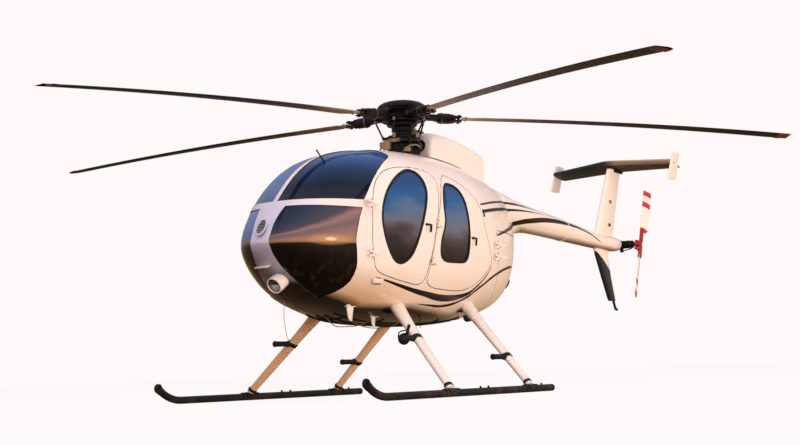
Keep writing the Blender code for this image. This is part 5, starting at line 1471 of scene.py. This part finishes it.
whip = merged(rod((0.36, -0.32, belly_z(0.36, -0.32) + 0.01), (0.36, -0.315, belly_z(0.36, -0.32) - 0.115), 0.004, 8),
              disc(0.012, 0.016, (0.36, -0.32, belly_z(0.36, -0.32) - 0.004), steps=16))
dress("belly_whip", whip, "airframe", rubber)
wire_start = (-0.12, -1.70, belly_z(-0.12, -1.70) + 0.004)
wire = merged(bar([wire_start, (-0.14, -1.685, 0.74), (-0.17, -1.63, 0.62), (-0.25, -1.52, 0.565), (-0.40, -1.32, 0.545)], 0.0026),
              disc(0.010, 0.020, wire_start, steps=12), rod((-0.40, -1.32, 0.545), (-0.60, -1.00, 0.55), 0.0026, 8))
dress("wire_antenna", wire, "airframe", gold_wire)
cable = [bar([(0.02, -1.30, belly_z(0.02, -1.30) + 0.002), (0.06, -1.22, 0.655), (0.12, -1.10, 0.648), (0.18, -1.00, 0.66), (0.24, -0.90, belly_z(0.24, -0.90) + 0.002)], 0.0045),
         bar([(0.10, -1.05, belly_z(0.10, -1.05) + 0.002), (0.18, -0.92, 0.640), (0.28, -0.80, 0.632), (0.36, -0.70, 0.66), (0.38, -0.62, belly_z(0.38, -0.62) + 0.002)], 0.0045)]
dress("belly_pipes", merged(*cable), "airframe", gold_wire)
for side_name, side in SIDES:
    for place, foot_y, hull_y, _ in STRUT_ROWS:
        foot = Vector((side * (SKID_X - 0.006), foot_y, 2 * SKID_R + 0.004))
        hull = Vector((side * 0.36, hull_y, 0.905))
        meets = (hull - foot).normalized()
        distance = 0.5
        while distance < 1.3 and belly_z(abs((foot + meets * distance).x), (foot + meets * distance).y) > (foot + meets * distance).z:
            distance += 0.005
        near = foot + meets * (distance - 0.05)
        gusset = [slab((0.050, 0.150, 0.040), (near.x - side * 0.075, near.y, near.z + 0.010), 0.012, 3),
                  bar([(near.x - side * 0.03, near.y - 0.09, near.z - 0.020), (near.x - side * 0.10, near.y - 0.10, near.z - 0.005),
                       (near.x - side * 0.19, near.y - 0.08, near.z + 0.010)], 0.012),
                  rod((near.x - side * 0.05, near.y - 0.10, near.z - 0.008), (near.x - side * 0.05, near.y + 0.10, near.z - 0.008), 0.014, 16)]
        dress(f"{place}_strut_bracket_{side_name}", merged(*gusset), "airframe", rotor_black)

# %% [markdown]
# Behind the engine doors the exhaust runs aft and down. The engine stays a plain block in
# the solids, so here it only gets a metal finish.

# %% Exhaust
pipe_length = (PIPE_END - PIPE_START).length
pipe = turned(((0.088, 0.012), (0.088, pipe_length - 0.03), (0.094, pipe_length - 0.004), (0.091, pipe_length), (0.080, pipe_length - 0.02),
               (0.080, 0.10), (0.0, 0.10), (0.0, 0.060), (0.070, 0.060), (0.088, 0.012)), PIPE_START, PIPE_ALONG, 48)
dress("exhaust_stack", pipe, "airframe", exhaust_metal, ("exhaust_pipe",), 40)
dress("exhaust_clamp", collar(0.096, 0.0885, 0.016, PIPE_START + PIPE_ALONG * 0.18, PIPE_ALONG, 48), "airframe", steel_metal)
LEFT_AS_MADE = {"engine_block": exhaust_metal}
print("pieces with the gear and rotors:", len(made))

# %% [markdown]
# The cabin shows through the glass and the open doors. Its cushions are padded leather:
# each starts as an eased block that a short cloth simulation blows up, and gets its piping
# afterwards. The frames, belts, sticks, pedals and dials are rigid.

# %% Cushions
VOXEL = 0.010
SWELL_FRAMES = 16
SWELL_CAP = 0.018


def swollen(shape, name):
    """Blows a closed block up into a crowned cushion and gives its mesh."""
    pad = tool(name, shape)
    remesh = pad.modifiers.new("even", "REMESH")
    remesh.mode = "VOXEL"
    remesh.voxel_size = VOXEL
    pad.data = bpy.data.meshes.new_from_object(pad.evaluated_get(bpy.context.evaluated_depsgraph_get()))
    pad.modifiers.clear()
    start = [vert.co.copy() for vert in pad.data.vertices]
    pad.hide_render = False
    cloth = pad.modifiers.new("swell", "CLOTH")
    cloth.settings.quality = 4
    cloth.settings.use_pressure = True
    cloth.settings.uniform_pressure_force = 4.0
    cloth.settings.effector_weights.gravity = 0.0
    cloth.point_cache.frame_end = SWELL_FRAMES
    for frame_number in range(1, SWELL_FRAMES + 1):
        bpy.context.scene.frame_set(frame_number)
    pad.data = bpy.data.meshes.new_from_object(pad.evaluated_get(bpy.context.evaluated_depsgraph_get()))
    pad.modifiers.clear()
    bpy.context.scene.frame_set(1)
    for vert, before in zip(pad.data.vertices, start):
        step = vert.co - before
        if step.length > SWELL_CAP:
            vert.co = before + step * (SWELL_CAP / step.length)
    smooth = pad.modifiers.new("smooth", "SMOOTH")
    smooth.factor = 0.5
    smooth.iterations = 4
    pad.data = bpy.data.meshes.new_from_object(pad.evaluated_get(bpy.context.evaluated_depsgraph_get()))
    pad.modifiers.clear()
    return pad.data


def piping(width, depth, up, place, lean, radius=0.005):
    """A welt that runs round a cushion's top edge."""
    corner = 0.05
    points = []
    for cx, cy, first in ((1, 1, 0), (-1, 1, 90), (-1, -1, 180), (1, -1, 270)):
        for k in range(5):
            turn = math.radians(first + k * 22.5)
            points.append((cx * (width / 2 - corner) + corner * math.cos(turn), cy * (depth / 2 - corner) + corner * math.sin(turn), up))
    welt = bar([*points, points[0]], radius, 8)
    return shifted(spun(welt, (lean, 0, 0)), place)


BACK_LEAN = -12
SEATS = (  # name, middle x, middle y, width, back height, base middle x, base width
    ("front_seat_left", 0.29, -0.98, 0.46, 0.62, 0.23, 0.30),
    ("front_seat_right", -0.29, -0.98, 0.46, 0.62, -0.23, 0.30),
    ("rear_bench", 0.0, 0.12, 1.04, 0.60, 0.0, 0.76),
)
belts = []
buckles = []
for name, x, y, width, tall, base_x, base_width in SEATS:
    base = merged(slab((base_width, 0.355, 0.195), (base_x, y, 0.9605), 0.020, 3),
                  slab((width - 0.03, 0.40, 0.016), (x, y - 0.02, 1.050), 0.006))
    dress(f"{name}_base", base, "airframe", cabin_trim, (name,), 40)
    places = [x] if width < 0.6 else [x - width / 4, x + width / 4]
    pad_width = width / len(places) - 0.03
    for number, middle in enumerate(places):
        seat = shifted(slab((pad_width - 0.03, 0.40, 0.075), (0, 0, 0), 0.026, 3), (middle, y - 0.02, 1.108))
        pad = dress(f"{name}_cushion_{number}", swollen(seat, f"{name}_cushion_start_{number}"), "airframe", seat_leather, (), 60)
        back = shifted(spun(slab((pad_width - 0.03, 0.070, tall - 0.05), (0, 0, tall / 2), 0.024, 3), (BACK_LEAN, 0, 0)), (middle, y + 0.185, 1.125))
        pad = dress(f"{name}_back_{number}", swollen(back, f"{name}_back_start_{number}"), "airframe", seat_leather, (), 60)
        belts.append(piping(pad_width + 0.012, 0.43, 1.135, (middle, y - 0.02, 0), 0))
        for side in (-1, 1):
            shoulder = Vector((middle + side * 0.10, y + 0.165 + math.sin(math.radians(12)) * (tall - 0.02), 1.125 + tall * 0.97))
            lap = Vector((middle + side * 0.055, y + 0.110, 1.195))
            across = (lap - shoulder).normalized()
            strap = slab((0.045, 0.003, (lap - shoulder).length), (0, 0, (lap - shoulder).length / 2), 0.001, 1)
            belts.append(oriented(strap, shoulder, across))
            belts.append(bar([(middle + side * 0.20, y + 0.06, 1.125), (middle + side * 0.13, y + 0.04, 1.172), (middle + side * 0.02, y + 0.03, 1.182)], 0.011, 6))
        buckles.append(disc(0.030, 0.014, (middle, y + 0.035, 1.196)))
dress("cabin_belts", merged(*belts), "airframe", belt_webbing, (), 40)
dress("belt_buckles", merged(*buckles), "airframe", steel_metal)

# %% Instrument panel and controls
FLOOR_Z = 0.86
panel = merged(slab((0.155, 0.195, 0.295), (0, -1.44, FLOOR_Z + 0.1505), 0.018, 3),
               slab((0.335, 0.115, 0.295), (0, -1.52, FLOOR_Z + 0.40), 0.030, 3))
dress("instrument_panel_case", panel, "airframe", slate_paint, ("instrument_panel",), 40)
FACE_Y = -1.462
bezels = []
faces = []
for column, x in enumerate((-0.105, 0.0, 0.105)):
    for row, z in enumerate((1.34, 1.25, 1.16)):
        radius = 0.040 if row < 2 else 0.026
        bezels.append(collar(radius, radius - 0.006, 0.008, (x, FACE_Y + 0.001, z), (0, 1, 0), 32))
        faces.append(disc(radius - 0.0065, 0.004, (x, FACE_Y + 0.001, z), (0, 1, 0), 32))
for x in (-0.05, -0.02, 0.01, 0.04):
    bezels.append(disc(0.006, 0.014, (x, -1.338, 1.10), (0, 1, 0), 12))
    bezels.append(disc(0.009, 0.012, (x, -1.338, 1.03), (0, 1, 0), 12))
bezels.append(slab((0.110, 0.006, 0.036), (0, -1.341, 0.97), 0.002))
dress("panel_bezels", merged(*bezels), "airframe", rotor_black)
dress("panel_dials", merged(*faces), "airframe", dial_face)
PEDAL_INWARD = 0.80
controls = []
grips = []
for middle in (-0.29, 0.29):
    controls.append(bar([(middle, -1.27, FLOOR_Z + 0.002), (middle, -1.30, 0.98), (middle, -1.33, 1.12), (middle, -1.30, 1.25)], 0.012))
    grips.append(turned(((0.0, 0.0), (0.018, 0.006), (0.020, 0.03), (0.016, 0.09), (0.021, 0.13), (0.014, 0.145), (0.0, 0.148)),
                        (middle, -1.303, 1.235), (0, 0.25, 1), 20))
    controls.append(bar([(middle - 0.245, -0.86, 0.93), (middle - 0.245, -1.02, 0.985), (middle - 0.245, -1.15, 1.06)], 0.011))
    grips.append(rod((middle - 0.245, -1.15, 1.06), (middle - 0.245, -1.245, 1.115), 0.019, 18))
    for side in (-0.060, 0.060):
        pedal_x = middle * PEDAL_INWARD + side
        controls.append(bar([(pedal_x, -1.43, FLOOR_Z + 0.002), (pedal_x, -1.48, 0.96), (pedal_x, -1.495, 1.03)], 0.008))
        grips.append(spun(slab((0.060, 0.010, 0.090), (0, 0, 0), 0.004), (14, 0, 0)))
        shifted(grips[-1], (pedal_x, -1.488, 1.045))
dress("flight_controls", merged(*controls), "airframe", steel_metal)
dress("control_grips", merged(*grips), "airframe", rubber)
print("pieces with the cabin:", len(made))

# %% [markdown]
# The camera stands where the photographer's did, low and off the port bow, and the floor
# and backdrop are plain and pale. Soft boxes give the light: one large and cool above
# the nose, one warm from the side, and a warm glow that the floor throws up.

# %% Stage, light and camera
def pale(name, colour, roughness, glow, strength):
    finish = Finish(name, colour, roughness, 0.0, Emission_Color=(*glow, 1.0), Emission_Strength=strength)
    return finish.material


def stage_piece(name, bm, place, material):
    mesh = bpy.data.meshes.new(name)
    bm.to_mesh(mesh)
    bm.free()
    mesh.materials.append(material)
    mesh.shade_smooth()
    piece = bpy.data.objects.new(name, mesh)
    piece.location = place
    piece.visible_diffuse = False
    piece.visible_glossy = False
    piece.visible_transmission = False
    piece.visible_shadow = False
    bpy.context.scene.collection.objects.link(piece)
    return piece


floor_bm = bmesh.new()
bmesh.ops.create_circle(floor_bm, cap_ends=True, segments=96, radius=60.0)
stage_piece("floor", floor_bm, (0, 0, -0.001), pale("pale_floor", (0.050, 0.047, 0.047), 1.0, (1.0, 0.953, 0.951), 0.93))
dome_bm = bmesh.new()
bmesh.ops.create_uvsphere(dome_bm, u_segments=48, v_segments=24, radius=70.0)
bmesh.ops.reverse_faces(dome_bm, faces=dome_bm.faces)
stage_piece("backdrop", dome_bm, (0, 0, 0), pale("pale_backdrop", (0.0, 0.0, 0.0), 1.0, (1.0, 0.950, 0.948), 0.995))

bpy.context.scene.view_settings.view_transform = "Standard"
world = bpy.data.worlds.new("studio")
bpy.context.scene.world = world
world.use_nodes = True
sky = world.node_tree.nodes["Background"]
where = world.node_tree.nodes.new("ShaderNodeTexCoord")
split = world.node_tree.nodes.new("ShaderNodeSeparateXYZ")
world.node_tree.links.new(where.outputs["Generated"], split.inputs[0])
height = (Value(world.node_tree, split.outputs["Z"]) + 1) / 2
shades = world.node_tree.nodes.new("ShaderNodeValToRGB")
SKY_STOPS = ((0.0, (0.16, 0.09, 0.05)), (0.38, (0.55, 0.32, 0.17)), (0.49, (1.0, 0.66, 0.42)), (0.54, (1.0, 0.82, 0.70)),
             (0.66, (0.82, 0.78, 0.86)), (1.0, (0.62, 0.70, 0.95)))
while len(shades.color_ramp.elements) < len(SKY_STOPS):
    shades.color_ramp.elements.new(1.0)
for stop, (level, colour) in zip(shades.color_ramp.elements, SKY_STOPS):
    stop.position = level
    stop.color = (*colour, 1.0)
plug(world.node_tree, height, shades.inputs["Fac"])
world.node_tree.links.new(shades.outputs["Color"], sky.inputs["Color"])
sky.inputs["Strength"].default_value = 0.45


def soft_box(name, place, towards, size, power, colour, glossy=True):
    lamp = bpy.data.lights.new(name, "AREA")
    lamp.shape = "RECTANGLE"
    lamp.size, lamp.size_y = size
    lamp.energy = power
    lamp.color = colour
    holder = bpy.data.objects.new(name, lamp)
    holder.location = place
    holder.rotation_euler = (Vector(towards) - Vector(place)).to_track_quat("-Z", "Y").to_euler()
    holder.visible_camera = False
    holder.visible_glossy = glossy
    bpy.context.scene.collection.objects.link(holder)


soft_box("sky_box", (0.5, -1.0, 9.0), (0.2, 0.5, 1.5), (10.0, 12.0), 720, (1.0, 0.92, 0.93), False)
soft_box("side_box", (20.0, -6.0, 1.5), (0.2, 0.5, 1.5), (13.0, 4.5), 1900, (1.0, 0.94, 0.92), False)
soft_box("low_box", (11.0, 5.0, -2.5), (0.4, 0.6, 1.2), (8.0, 4.0), 900, (1.0, 0.84, 0.66), False)
soft_box("nose_box", (1.0, -13.0, 6.0), (0.0, -1.0, 1.4), (8.0, 5.0), 330, (0.84, 0.86, 1.0), False)

AZIMUTH, ELEVATION, ROLL = (math.radians(v) for v in (35.6328, -5.9784, -1.7632))
FOCAL_PIXELS = 1393.8788
back = Vector((math.sin(AZIMUTH) * math.cos(ELEVATION), -math.cos(AZIMUTH) * math.cos(ELEVATION), math.sin(ELEVATION)))
right = (-back).cross(Vector((0, 0, 1))).normalized()
up = right.cross(-back)
tilted_right = math.cos(ROLL) * right + math.sin(ROLL) * up
tilted_up = -math.sin(ROLL) * right + math.cos(ROLL) * up
camera_data = bpy.data.cameras.new("camera")
camera_data.sensor_width = 36.0
camera_data.lens = FOCAL_PIXELS * 36.0 / 800
camera = bpy.data.objects.new("camera", camera_data)
matrix = Matrix((tilted_right, tilted_up, back)).transposed().to_4x4()
matrix.translation = Vector((8.0294, -11.4621, 0.2569))
camera.matrix_world = matrix
bpy.context.scene.collection.objects.link(camera)
bpy.context.scene.camera = camera

# %% Last steps
for made_tool in tools:
    bpy.data.objects.remove(made_tool)
for name, node in nodes.items():
    if not node.hide_render and name in LEFT_AS_MADE:
        node.data.materials.clear()
        node.data.materials.append(LEFT_AS_MADE[name])
print("pieces:", len(made))
